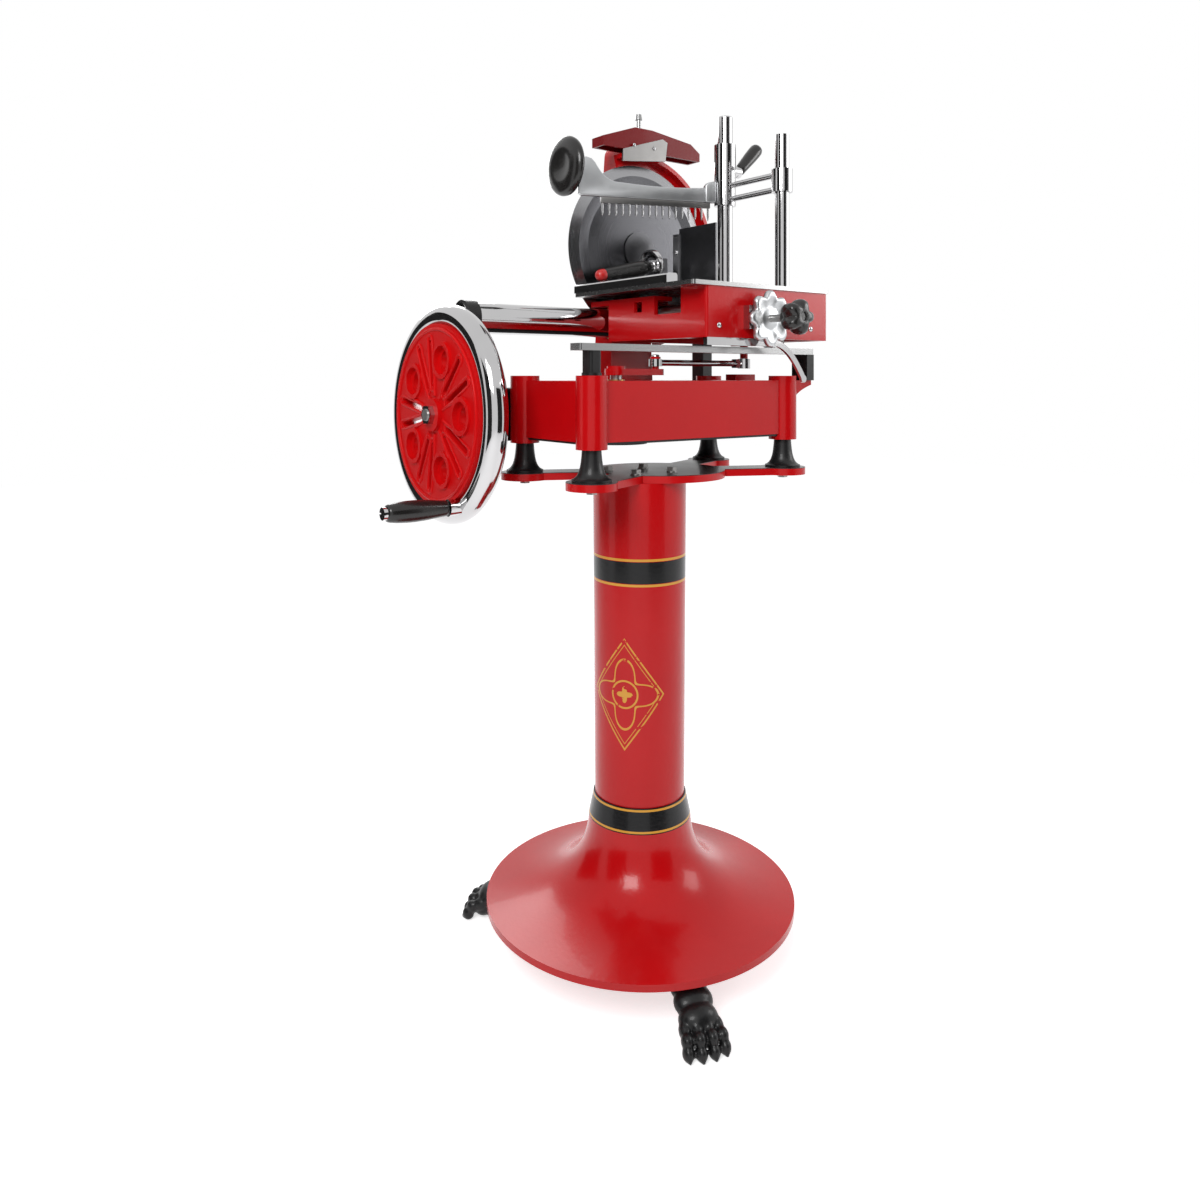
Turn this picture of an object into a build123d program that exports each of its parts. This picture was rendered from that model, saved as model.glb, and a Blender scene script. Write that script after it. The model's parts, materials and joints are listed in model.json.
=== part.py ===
from build123d import *
import os
from math import cos, radians, sin

os.makedirs("parts", exist_ok=True)

# Hand crank meat slicer on a cast pedestal, in millimetres. The origin is on the floor, under the middle
# of the whole machine. +Z is up, the carriage slides along X, and the meat is fed along +Y to the blade.

# ------------------------------------------------------------------ fits
running_fit = 0.05          # radial gap of a shaft that turns in its bore
screw_fit = 0.2             # radial gap round a bolt
pass_gap = 0.3              # gap between pieces that pass each other
mesh_gap = 0.6              # gap between the cones of two bevel gears

# ------------------------------------------------------------------ pedestal
column_x = 32.0             # column axis, right of the machine's middle
column_y = -28.0
column_foot_radius = 83.0
column_head_radius = 86.5
column_wall = 8.0
column_flange = 12.0
column_flange_bore = 42.0
bell_rim_radius = 283.0
bell_rim_z = 78.0
bell_lip = 12.0
bell_wall = 9.0
bell_neck_z = 232.0
bell_neck_bore = 60.0
collar_foot_radius = 94.5
collar_head_radius = 85.5
collar_height = 42.0
paw_angles = (129.5, 249.5, 9.5)
paw_reach = 346.0
paw_width = 82.0
paw_pad_radius = 205.0
paw_pad_z = 82.0
paw_pad_half = 16.0
toe_radius = 11.0

# ------------------------------------------------------------------ bolts, all of one size
bolt_radius = 5.0
bolt_flats = 17.0
bolt_head = 7.0
washer_radius = 10.5
washer = 2.0
column_bolt_circle = 60.0

# ------------------------------------------------------------------ mounting plate and base
plate_z = 865.0             # top of the mounting plate
plate_thickness = 14.0
plate_lobe_radius = 44.0
plate_middle_radius = 128.0
plate_arm_width = 62.0
base_left = -155.0
base_right = 325.0
base_front = -131.0
base_back = 122.0
leg_height = 65.0           # from the plate to the base's underside
base_height = 104.0
base_bottom = plate_z + leg_height
base_top = base_bottom + base_height
base_wall = 8.0
base_roof = 9.0
base_flare = 64.0           # how far the right end spreads at the top
base_flare_foot = 45.0      # height at which it starts to spread
boss_radius = 27.0
boss_rise = 9.0             # boss above the base top
boss_drop = 11.0            # boss below the base
boss_inset = 12.0
boss_back_inset = 28.0
cover_thickness = 4.0
leg_neck_radius = 16.5
leg_foot_radius = 34.0
leg_foot_height = 4.0

# ------------------------------------------------------------------ drive
case_left = -242.0
case_right = 382.0
case_depth = 112.0
case_drop = 5.0             # case below the base's underside
case_height = 95.0
case_bottom = base_bottom - case_drop
case_top = case_bottom + case_height
case_wall = 7.0
case_web_x = 110.0
case_web = 12.0
shaft_y = 162.0
shaft_rise = 42.0           # shafts above the base's underside
shaft_z = base_bottom + shaft_rise
wheel_shaft_radius = 11.0
cross_shaft_radius = 9.0
bush_wall = 5.0
bevel_radius = 28.0
bevel_tip_radius = 15.0
bevel_face = 13.0
bevel_teeth = 20
bevel_groove = 3.2
crank_x = -8.0
crank_y = -8.0
crank_radius = 95.0         # half of the carriage stroke
crank_arm_rise = 10.0       # crank arm above the base
crank_arm_bottom = base_top + crank_arm_rise
crank_arm_thickness = 12.0
crank_hub_radius = 21.0
crank_eye_radius = 16.0
crank_pin_radius = 7.0
rod_length = 237.0
rod_rise = 34.0             # rod's middle above the base
rod_z = base_top + rod_rise
rod_radius = 6.0
rod_eye_radius = 13.0
rod_eye_height = 14.0
rod_joint_height = 20.0
blade_x = 220.0
blade_rise = 344.0          # blade's axis above the drive shafts
blade_z = shaft_z + blade_rise

# ------------------------------------------------------------------ flywheel
wheel_x = -270.0            # middle plane of the rim
rim_radius = 180.0
rim_thickness = 22.0        # radius of the rim's round section
disc_face_x = -294.0
disc_back_x = -272.0
disc_radius = 166.0
hub_radius = 30.0
hub_back_x = -251.0
petal_circle = 104.0
petal_radius = 34.0
petal_bore = 17.0
petal_rise = 5.0
slot_inner = 52.0
slot_outer = 138.0
slot_width = 10.0
slot_spread = 10.0
spoke_groups = 5
handle_angle = 27.6         # handle, from straight down towards the front
grip_length = 114.0
grip_radius = 19.0
grip_pin_radius = 7.0
ferrule_radius = 15.0
ferrule_length = 18.0

# ------------------------------------------------------------------ blade side
blade_radius = 185.0
blade_back_y = 212.0
blade_thickness = 6.0
blade_bevel = 23.0
blade_dish = 2.5
blade_shaft_radius = 14.0
flange_radius = 45.0
flange_thickness = 9.0
cap_radius = 41.0
guard_radius = 212.0
guard_wall = 9.0
guard_front_y = 203.0
guard_plate = 6.0
guard_start = -75.0
guard_end = 105.0
arm_foot_radius = 62.0
arm_middle_radius = 46.0
arm_head_radius = 30.0
arm_head_rise = 214.0       # arm's round head above the blade's axis
arm_head_z = blade_z + arm_head_rise
arm_depth = 56.0
arm_wall = 7.0
arm_cover = 5.0
sprocket_big = 45.0
sprocket_small = 18.0
sprocket_width = 5.0
chain_thickness = 5.0
housing_left = 112.0
housing_right = 385.0
housing_front_y = 194.0
housing_wall = 5.0
housing_gap = 2.0           # over the guard
housing_height = 50.0
housing_bottom = blade_z + guard_radius + housing_gap
housing_peak_z = housing_bottom + housing_height
stone_radius = 18.0
stone_width = 5.0
stone_rise = 6.0            # stones' axis above the housing's lower edge
stone_z = housing_bottom + stone_rise

# ------------------------------------------------------------------ carriage and its ways
tube_rise = 117.0           # tube's axis above the base
tube_z = base_top + tube_rise
tube_radius = 29.0
tube_wall = 5.0
tube_left = -244.0
tube_right = 388.0
bracket_ring = 4.0
bracket_width = 26.0
rail_left = -178.0
rail_right = 395.0
rail_y = -118.0
rail_width = 30.0
rail_rise = 51.0            # rail's underside above the base
rail_bottom = base_top + rail_rise
rail_thickness = 12.0
carriage_left = 76.0
carriage_right = 399.0
carriage_front = -163.0
carriage_back = 127.0
carriage_rise = 78.0        # carriage above the base
carriage_height = 93.0
carriage_bottom = base_top + carriage_rise
carriage_top = carriage_bottom + carriage_height
carriage_wall = 8.0
frame_left = 120.0          # inner frame that carries the table's rods
frame_right = 355.0
front_box_depth = 69.0
rear_step = 10.0            # rear part lower than the front box
rear_top = carriage_top - rear_step
flange_back = 187.0
flange_drop = 20.0
flange_bottom = carriage_top - flange_drop
bearing_width = 40.0
bearing_radius = 36.0
roller_x = 290.0
roller_radius = 22.0
roller_width = 26.0
axle_radius = 5.0
table_rod_radius = 9.0
table_rod_drop = 33.0
table_rod_z = carriage_top - table_rod_drop
table_rod_x = (140.0, 335.0)
strip_height = 14.0

# ------------------------------------------------------------------ table
table_left = 42.0
table_right = 402.0
table_front = -166.0
table_back = 200.0
table_thickness = 8.0
table_top = carriage_top + table_thickness
table_travel = 120.0
cheek_width = 26.0
cheek_height = 18.0
feed_x = 211.0
feed_rise = 36.0            # feed screw above the carriage's lower edge
feed_z = carriage_bottom + feed_rise
feed_radius = 10.0
feed_journal = 8.0
feed_wheel_y = -181.0
feed_wheel_radius = 52.0
feed_wheel_width = 14.0
feed_lobes = 8
knob_radius = 33.0
knob_y = -233.0
knob_length = 38.0
knob_lobes = 5
knob_stem = 7.0
post_x = 282.0
tall_post_y = 4.0
tall_post_radius = 15.5
tall_post_length = 360.0
tall_post_top = table_top + tall_post_length
short_post_y = -152.0
short_post_radius = 13.5
short_post_length = 291.0
short_post_top = table_top + short_post_length
fence_thickness = 4.0
fence_height = 148.0
fence_start = 30.0
fence_end = 144.0
lever_x = 210.0
lever_y = 152.0
lever_rise = 63.0           # lever's axis above the table
lever_z = table_top + lever_rise
lever_tilt = 11.2
lever_length = 150.0
lever_root = 5.0            # handle's inner end, inside the disc
lever_swell = 30.0          # where the handle is thickest
lever_swell_radius = 17.0
lever_ring_radius = 36.0
lever_pin_radius = 7.0

# ------------------------------------------------------------------ gripper
clamp_rise = 177.0          # clamp above the table
clamp_height = 125.0
clamp_bottom = table_top + clamp_rise
clamp_top = clamp_bottom + clamp_height
clamp_wall = 6.5
short_clamp_rise = 26.0     # short post's clamp above the tall one's lower edge
short_clamp_z = clamp_bottom + short_clamp_rise
short_clamp_height = 44.0
gripper_rod_radius = 6.0
gripper_rod_rises = (12.0, 40.0)
gripper_rod_z = tuple(clamp_bottom + rise for rise in gripper_rod_rises)
arm_yaw = 20.0
gripper_arm_length = 300.0
gripper_arm_rise = 6.0
gripper_arm_height = 31.0
gripper_arm_bottom = clamp_bottom + gripper_arm_rise
gripper_arm_top = gripper_arm_bottom + gripper_arm_height
gripper_arm_thickness = 8.0
comb_teeth = 17
comb_pitch = 14.0
comb_start = 38.0
comb_bar = 12.0
tooth_length = 27.0
tooth_radius = 2.2
lock_rise = 74.0            # clamping lever above the clamp's lower edge
lock_z = clamp_bottom + lock_rise
lock_length = 96.0
lock_radius = 14.0
lock_pin_radius = 5.0
round_knob_y = 117.0
round_knob_rise = 61.0
round_knob_z = clamp_bottom + round_knob_rise
round_knob_radius = 58.0
round_knob_width = 20.0
knob_shaft_radius = 8.0
round_knob_x = -28.0        # back face of the knob

# ------------------------------------------------------------------ shared ways of placing solids
FROM_CORNER = (Align.MIN, Align.MIN, Align.MIN)
FROM_END = (Align.CENTER, Align.CENTER, Align.MIN)
ALONG_X = (0, 90, 0)
ALONG_Y = (-90, 0, 0)
UPRIGHT = (0, 0, 0)


def block(low, high, mode=Mode.ADD):
    """A box between two opposite corners."""
    with Locations(low):
        Box(high[0] - low[0], high[1] - low[1], high[2] - low[2], align=FROM_CORNER, mode=mode)


def bar(start, length, radius, turn=UPRIGHT, mode=Mode.ADD):
    """A round bar from its start, up or along the axis that turn lays it on."""
    with Locations(start):
        Cylinder(radius, length, rotation=turn, align=FROM_END, mode=mode)


def taper(start, length, start_radius, end_radius, turn=UPRIGHT, mode=Mode.ADD):
    """A conical bar from its start."""
    with Locations(start):
        Cone(start_radius, end_radius, length, rotation=turn, align=FROM_END, mode=mode)


def facing_back(y, x=0.0, z=0.0):
    """The upright plane at y, with X to the right and Z up, whose depth is measured towards the back."""
    return Plane(origin=(x, y, z), x_dir=(1, 0, 0), z_dir=(0, -1, 0))


# ================================================================== pedestal
stand_profile = facing_back(column_y, x=column_x)
column_bottom = bell_neck_z
column_top = plate_z - plate_thickness
collar_top = bell_neck_z + collar_height

# Cast column: a long tube, straight in the collar and a little wider at the head, with a flange inside.
with BuildPart() as pedestal_column:
    with BuildSketch(stand_profile):
        with BuildLine():
            Polyline(
                (column_foot_radius - column_wall, column_bottom),
                (column_foot_radius, column_bottom),
                (column_foot_radius, collar_top),
                (column_head_radius, column_top),
                (column_flange_bore, column_top),
                (column_flange_bore, column_top - column_flange),
                (column_head_radius - column_wall, column_top - column_flange),
                close=True,
            )
        make_face()
    revolve(axis=Axis((column_x, column_y, 0), (0, 0, 1)))
    with Locations((column_x, column_y, column_top)):
        with PolarLocations(column_bolt_circle, 4, start_angle=45):
            Hole(bolt_radius + screw_fit, depth=column_flange)
pedestal_column.part.label = "pedestal_column"
export_step(pedestal_column.part, "parts/pedestal_column.step")

# Trumpet foot: a thin cast bell with a round lip, a closed neck and three pads inside for the paws.
with BuildPart() as pedestal_bell:
    with BuildSketch(stand_profile):
        with BuildLine():
            Bezier(
                (collar_foot_radius, bell_neck_z),
                (collar_foot_radius + 4, 140),
                (165, 104),
                (bell_rim_radius, bell_rim_z + bell_lip),
            )
            Line((bell_rim_radius, bell_rim_z + bell_lip), (bell_rim_radius, bell_rim_z))
            Line((bell_rim_radius, bell_rim_z), (bell_rim_radius - bell_wall, bell_rim_z))
            Bezier(
                (bell_rim_radius - bell_wall, bell_rim_z),
                (160, 93),
                (collar_foot_radius - bell_wall, 130),
                (collar_foot_radius - bell_wall - 1, bell_neck_z - bell_wall),
            )
            Polyline(
                (collar_foot_radius - bell_wall - 1, bell_neck_z - bell_wall),
                (bell_neck_bore, bell_neck_z - bell_wall),
                (bell_neck_bore, bell_neck_z),
                (collar_foot_radius, bell_neck_z),
            )
        make_face()
    revolve(axis=Axis((column_x, column_y, 0), (0, 0, 1)))
    for angle in paw_angles:
        with BuildSketch(Plane((column_x, column_y, paw_pad_z), x_dir=(cos(radians(angle)), sin(radians(angle)), 0))):
            with Locations((paw_pad_radius, 0)):
                Rectangle(2 * paw_pad_half, 44)
        extrude(amount=bell_lip + 4)
        with Locations((column_x + paw_pad_radius * cos(radians(angle)),
                        column_y + paw_pad_radius * sin(radians(angle)), paw_pad_z)):
            Cylinder(bolt_radius + screw_fit, 11, align=FROM_END, mode=Mode.SUBTRACT)
pedestal_bell.part.label = "pedestal_bell"
export_step(pedestal_bell.part, "parts/pedestal_bell.step")

# Flared collar that hides the joint of column and bell.
with BuildPart() as pedestal_collar:
    taper((column_x, column_y, bell_neck_z), collar_height, collar_foot_radius, collar_head_radius)
    bar((column_x, column_y, bell_neck_z), collar_height, column_foot_radius + running_fit, mode=Mode.SUBTRACT)
pedestal_collar.part.label = "pedestal_collar"
export_step(pedestal_collar.part, "parts/pedestal_collar.step")

# Three cast paws: a lug under the bell, an arched leg and a foot with four toes.
lug_in = paw_pad_radius - paw_pad_half
lug_out = paw_pad_radius + paw_pad_half
lug_bottom = paw_pad_z - 13.0
with BuildPart() as paw_feet:
    with BuildPart(mode=Mode.PRIVATE) as paw:
        with BuildSketch(Plane.XZ):
            with BuildLine():
                Polyline((lug_in, lug_bottom), (lug_in, paw_pad_z), (lug_out + 6, paw_pad_z))
                Spline(
                    (lug_out + 6, paw_pad_z),
                    (paw_reach - 66, 71),
                    (paw_reach - 32, 55),
                    (paw_reach - 8, 38),
                    (paw_reach, 14),
                )
                Polyline((paw_reach, 14), (paw_reach - 3, 0), (paw_reach - 52, 0), (paw_reach - 62, 10))
                Spline(
                    (paw_reach - 62, 10),
                    (paw_reach - 84, 36),
                    (lug_out + 4, paw_pad_z - 26),
                    (lug_out - 5, lug_bottom),
                )
                Line((lug_out - 5, lug_bottom), (lug_in, lug_bottom))
            make_face()
        extrude(amount=paw_width, both=True)
        with BuildSketch():
            with BuildLine():
                Polyline(
                    (lug_in, 22), (paw_reach - 88, 24), (paw_reach - 46, 31), (paw_reach - 20, paw_width / 2),
                    (paw_reach - 20, -paw_width / 2), (paw_reach - 46, -31), (paw_reach - 88, -24),
                    (lug_in, -22), close=True,
                )
            make_face()
            toes = [(paw_reach - toe_radius, step * paw_width / 4) for step in (-1.5, -0.5, 0.5, 1.5)]
            with Locations(toes):
                Circle(toe_radius)
            with Locations([(x - toe_radius, y) for x, y in toes]):
                Rectangle(2 * toe_radius, 1.84 * toe_radius)
        extrude(amount=paw_pad_z + 1, mode=Mode.INTERSECT)
        with Locations((paw_pad_radius, 0, 0)):
            Cylinder(bolt_radius + screw_fit, paw_pad_z + 1, align=FROM_END, mode=Mode.SUBTRACT)
    for angle in paw_angles:
        with Locations(Location((column_x, column_y, 0), angle)):
            add(paw.part)
paw_feet.part.label = "paw_feet"
export_step(paw_feet.part, "parts/paw_feet.step")

# ================================================================== mounting plate, legs and base
boss_places = [
    (base_left + boss_inset, base_front + boss_inset + 1),
    (base_right - boss_inset + 7, base_front + boss_inset + 1),
    (base_right - boss_inset + 7, base_back - boss_back_inset),
    (base_left + boss_inset, base_back - boss_back_inset),
]
boss_bottom = base_bottom - boss_drop
plate_middle_x = (boss_places[0][0] + boss_places[1][0]) / 2
plate_middle_y = (boss_places[0][1] + boss_places[2][1]) / 2

# Mounting plate: a thick plate whose outline swells round each leg and is waisted between them.
with BuildPart() as mounting_plate:
    with BuildSketch(Plane.XY.offset(plate_z)):
        with Locations((plate_middle_x, plate_middle_y)):
            Circle(plate_middle_radius)
        for x, y in boss_places:
            with BuildLine():
                Line((plate_middle_x, plate_middle_y), (x, y))
            trace(line_width=plate_arm_width)
        with Locations(boss_places):
            Circle(plate_lobe_radius)
    extrude(amount=-plate_thickness)
    with Locations((column_x, column_y, plate_z)):
        with PolarLocations(column_bolt_circle, 4, start_angle=45):
            Hole(bolt_radius + screw_fit, depth=plate_thickness)
    with Locations([(x, y, plate_z) for x, y in boss_places]):
        Hole(bolt_radius + screw_fit, depth=plate_thickness)
mounting_plate.part.label = "mounting_plate"
export_step(mounting_plate.part, "parts/mounting_plate.step")


def hex_bolt(head_z, shank, x, y, upwards):
    """A hexagon bolt whose head bears at head_z, with its shank going up or down from there."""
    way = 1 if upwards else -1
    with BuildSketch(Plane.XY.offset(head_z)) as head:
        with Locations((x, y)):
            RegularPolygon(bolt_flats / 2, 6, major_radius=False)
    extrude(head.sketch, amount=-way * bolt_head)
    low = head_z if upwards else head_z - shank
    bar((x, y, low), shank, bolt_radius)


# All bolts of the stand: paws to bell, plate to column flange, and legs to base.
with BuildPart() as hex_bolts:
    for angle in paw_angles:
        foot_x = column_x + paw_pad_radius * cos(radians(angle))
        foot_y = column_y + paw_pad_radius * sin(radians(angle))
        hex_bolt(lug_bottom, paw_pad_z - lug_bottom + 10, foot_x, foot_y, True)
    for angle in (45, 135, 225, 315):
        place = (column_x + column_bolt_circle * cos(radians(angle)),
                 column_y + column_bolt_circle * sin(radians(angle)))
        bar((*place, plate_z), washer, washer_radius)
        hex_bolt(plate_z + washer, washer + plate_thickness + column_flange + 9, *place, False)
    for x, y in boss_places:
        hex_bolt(plate_z - plate_thickness, plate_thickness + 66, x, y, True)
hex_bolts.part.label = "hex_bolts"
export_step(hex_bolts.part, "parts/hex_bolts.step")

# Four conical legs with a spreading foot, one under each boss.
with BuildPart() as base_legs:
    for x, y in boss_places:
        with BuildSketch(facing_back(y, x=x)):
            with BuildLine():
                Line((bolt_radius + screw_fit, plate_z), (leg_foot_radius, plate_z))
                Line((leg_foot_radius, plate_z), (leg_foot_radius, plate_z + leg_foot_height))
                Bezier(
                    (leg_foot_radius, plate_z + leg_foot_height),
                    (leg_neck_radius + 6, plate_z + leg_foot_height + 4),
                    (leg_neck_radius + 2, plate_z + 20),
                    (leg_neck_radius, boss_bottom),
                )
                Line((leg_neck_radius, boss_bottom), (bolt_radius + screw_fit, boss_bottom))
                Line((bolt_radius + screw_fit, boss_bottom), (bolt_radius + screw_fit, plate_z))
            make_face()
        revolve(axis=Axis((x, y, 0), (0, 0, 1)))
base_legs.part.label = "base_legs"
export_step(base_legs.part, "parts/base_legs.step")

# Base casting: a deep hollow box, open below, with four round bosses and a right end that spreads.
crank_bush_radius = wheel_shaft_radius + bush_wall
cross_bush_radius = cross_shaft_radius + bush_wall
with BuildPart() as base_housing:
    with BuildSketch(facing_back(base_front)):
        with BuildLine():
            Polyline(
                (base_right, base_bottom + base_flare_foot),
                (base_right, base_bottom),
                (base_left, base_bottom),
                (base_left, base_top),
                (base_right + base_flare, base_top),
                (base_right + base_flare, base_top - 9),
            )
            Bezier(
                (base_right + base_flare, base_top - 9),
                (base_right + 0.7 * base_flare, base_top - 14),
                (base_right + 4, base_bottom + base_flare_foot + 30),
                (base_right, base_bottom + base_flare_foot),
            )
        make_face()
    extrude(amount=base_front - base_back)
    fillet(edges().filter_by(Axis.Z).group_by(Axis.X)[0], radius=12)
    block(
        (base_left + base_wall, base_front + base_wall, base_bottom),
        (base_right - base_wall, base_back - base_wall, base_top - base_roof),
        mode=Mode.SUBTRACT,
    )
    for x, y in boss_places:
        bar((x, y, boss_bottom), base_top + boss_rise - boss_bottom, boss_radius)
    # seat of the crank bush, and a web that carries the front end of the cross shaft
    bar((crank_x, crank_y, base_top - base_roof - 15), 15, crank_bush_radius + 8)
    block((crank_x - 16, crank_y + 40, shaft_z - 17), (crank_x + 16, crank_y + 54, base_top - base_roof))
    bar((crank_x, crank_y, base_top - 30), 31, crank_bush_radius, mode=Mode.SUBTRACT)
    bar((crank_x, crank_y + 39, shaft_z), 16, cross_shaft_radius + running_fit, ALONG_Y, Mode.SUBTRACT)
    bar((crank_x, base_back - base_wall - 1, shaft_z), base_wall + 2, cross_bush_radius, ALONG_Y, Mode.SUBTRACT)
    # raised pad on the roof, under the far end of the connecting rod
    block((crank_x + 294, crank_y - 14, base_top - 1), (crank_x + 350, crank_y + 14, base_top + 12))
    for x, y in boss_places:
        bar((x, y, boss_bottom - 1), 15, bolt_radius + screw_fit, mode=Mode.SUBTRACT)
base_housing.part.label = "base_housing"
export_step(base_housing.part, "parts/base_housing.step")

# Covers under the base, with a round sump below the crank gear, and under the drive case.
with BuildPart() as under_covers:
    block(
        (base_left + 3, base_front + 3, base_bottom - cover_thickness),
        (base_right - 3, base_back - 3, base_bottom),
    )
    bar((crank_x, crank_y, base_bottom - 12), 12, 58)
    bar((crank_x, crank_y, base_bottom - 8), 9, 54, mode=Mode.SUBTRACT)
    with Locations([(x, y, boss_bottom) for x, y in boss_places]):
        Cylinder(boss_radius + 1, 2 * boss_drop + 2, mode=Mode.SUBTRACT)
    block(
        (case_left + 2, base_back + 2, case_bottom - cover_thickness),
        (case_right - 2, base_back + case_depth - 2, case_bottom),
    )
under_covers.part.label = "under_covers"
export_step(under_covers.part, "parts/under_covers.step")

# Drive case: a long box behind the base, open below, for the wheel shaft and its bevel gears.
case_front = base_back
case_back = base_back + case_depth
wheel_bush_radius = wheel_shaft_radius + bush_wall
chain_bush_radius = cross_shaft_radius + bush_wall
with BuildPart() as drive_case:
    block((case_left, case_front, case_bottom), (case_right, case_back, case_top))
    fillet(edges().filter_by(Axis.X).group_by(Axis.Z)[-1], radius=6)
    block(
        (case_left + case_wall, case_front + case_wall, case_bottom),
        (case_right - case_wall, case_back - case_wall, case_top - case_wall),
        mode=Mode.SUBTRACT,
    )
    block((case_web_x, case_front, case_bottom), (case_web_x + case_web, case_back, case_top - 1))
    bar((case_left, shaft_y, shaft_z), 22, wheel_bush_radius + 9, ALONG_X)
    bar((case_left - 1, shaft_y, shaft_z), 24, wheel_bush_radius, ALONG_X, Mode.SUBTRACT)
    bar((case_web_x - 1, shaft_y, shaft_z), case_web + 2, wheel_bush_radius, ALONG_X, Mode.SUBTRACT)
    bar((crank_x, case_front - 1, shaft_z), case_wall + 2, cross_bush_radius, ALONG_Y, Mode.SUBTRACT)
    bar((blade_x, case_back - case_wall - 1, shaft_z), case_wall + 2, chain_bush_radius, ALONG_Y, Mode.SUBTRACT)
drive_case.part.label = "drive_case"
export_step(drive_case.part, "parts/drive_case.step")

# Knife arm: a tapered hollow casting behind the blade, from the drive case up to the sharpener.
arm_front = case_back
arm_back = arm_front + arm_depth
arm_circles = [(shaft_z, arm_foot_radius), (blade_z, arm_middle_radius), (arm_head_z, arm_head_radius)]
blade_bush_radius = blade_shaft_radius + bush_wall
guard_back_y = arm_front - 6.0
with BuildPart() as knife_arm:
    with BuildSketch(facing_back(arm_front)):
        for z, radius in arm_circles:
            with Locations((blade_x, z)):
                Circle(radius)
        make_hull()
    extrude(amount=-arm_depth)
    with BuildSketch(facing_back(arm_front + arm_wall)):
        for z, radius in arm_circles:
            with Locations((blade_x, z)):
                Circle(radius - arm_wall)
        make_hull()
    extrude(amount=-arm_depth, mode=Mode.SUBTRACT)
    bar((blade_x, guard_back_y, blade_z), 26, blade_bush_radius + 10, ALONG_Y)
    bar((blade_x, guard_back_y - 1, blade_z), 28, blade_bush_radius, ALONG_Y, Mode.SUBTRACT)
    bar((blade_x, arm_front - 1, shaft_z), arm_wall + 2, chain_bush_radius, ALONG_Y, Mode.SUBTRACT)
knife_arm.part.label = "knife_arm"
export_step(knife_arm.part, "parts/knife_arm.step")

# Plain cover that closes the back of the knife arm.
with BuildPart() as knife_arm_cover:
    with BuildSketch(facing_back(arm_back)):
        for z, radius in arm_circles:
            with Locations((blade_x, z)):
                Circle(radius)
        make_hull()
    extrude(amount=-arm_cover)
knife_arm_cover.part.label = "knife_arm_cover"
export_step(knife_arm_cover.part, "parts/knife_arm_cover.step")


def bush(start, length, bore, outside, turn):
    """A plain bronze sleeve."""
    bar(start, length, outside, turn)
    bar(start, length, bore, turn, Mode.SUBTRACT)


# Bronze bushes of the wheel shaft, cross shaft, chain shaft, blade shaft and crank shaft.
with BuildPart() as shaft_bushes:
    wheel_bore = wheel_shaft_radius + running_fit
    cross_bore = cross_shaft_radius + running_fit
    bush((case_left, shaft_y, shaft_z), 22, wheel_bore, wheel_bush_radius, ALONG_X)
    bush((case_web_x, shaft_y, shaft_z), case_web, wheel_bore, wheel_bush_radius, ALONG_X)
    bush((crank_x, base_back - base_wall, shaft_z), base_wall + case_wall, cross_bore, cross_bush_radius, ALONG_Y)
    bush((blade_x, case_back - case_wall, shaft_z), case_wall + arm_wall, cross_bore, chain_bush_radius, ALONG_Y)
    bush((blade_x, guard_back_y, blade_z), 26, blade_shaft_radius + running_fit, blade_bush_radius, ALONG_Y)
    bush((crank_x, crank_y, base_top - base_roof - 15), base_roof + 17, wheel_bore, crank_bush_radius, UPRIGHT)
shaft_bushes.part.label = "shaft_bushes"
export_step(shaft_bushes.part, "parts/shaft_bushes.step")

# ================================================================== wheel shaft, gears and flywheel


def bevel_gear(plane, bore):
    """A mitre gear whose big end lies on the plane and whose small end points along its normal."""
    with BuildPart(plane) as gear:
        Cone(bevel_radius, bevel_tip_radius, bevel_face, align=FROM_END)
        Cylinder(bevel_radius, 4, align=(Align.CENTER, Align.CENTER, Align.MAX))
        with PolarLocations(bevel_radius - 0.2, bevel_teeth):
            with Locations(Location((0, 0, 0), (0, -45, 0))):
                Box(2.4, bevel_groove, 60, mode=Mode.SUBTRACT)
        Cylinder(bore, 60, mode=Mode.SUBTRACT)
    return gear.part


def sprocket(y, z, radius, teeth):
    """A chain wheel on an axis along Y."""
    with BuildSketch(facing_back(y, x=blade_x, z=z)) as wheel:
        Circle(radius)
        with PolarLocations(radius + 1, teeth):
            Circle(3.4, mode=Mode.SUBTRACT)
    extrude(wheel.sketch, amount=-sprocket_width)


# A mitre gear's big end lies its own radius away from the point where the two axes meet.
apex = bevel_radius + mesh_gap
first_pinion = bevel_gear(Plane((crank_x - apex, shaft_y, shaft_z), z_dir=(1, 0, 0)), wheel_shaft_radius)
second_pinion = bevel_gear(Plane((blade_x - apex, shaft_y, shaft_z), z_dir=(1, 0, 0)), wheel_shaft_radius)
rear_cross_gear = bevel_gear(Plane((crank_x, shaft_y - apex, shaft_z), z_dir=(0, 1, 0)), cross_shaft_radius)
front_cross_gear = bevel_gear(Plane((crank_x, crank_y + apex, shaft_z), z_dir=(0, -1, 0)), cross_shaft_radius)
crank_gear = bevel_gear(Plane((crank_x, crank_y, shaft_z + apex), z_dir=(0, 0, -1)), wheel_shaft_radius)
chain_gear = bevel_gear(Plane((blade_x, shaft_y + apex, shaft_z), z_dir=(0, -1, 0)), cross_shaft_radius)

nut_x = disc_face_x - 8.0
with BuildPart() as flywheel_shaft:
    bar((nut_x - 12, shaft_y, shaft_z), blade_x - apex - 4 - nut_x + 12, wheel_shaft_radius, ALONG_X)
    add(first_pinion)
    add(second_pinion)
    bar((blade_x - apex - 4, shaft_y, shaft_z), bevel_face + 4, wheel_shaft_radius, ALONG_X)
flywheel_shaft.part.label = "flywheel_shaft"
export_step(flywheel_shaft.part, "parts/flywheel_shaft.step")

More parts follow.
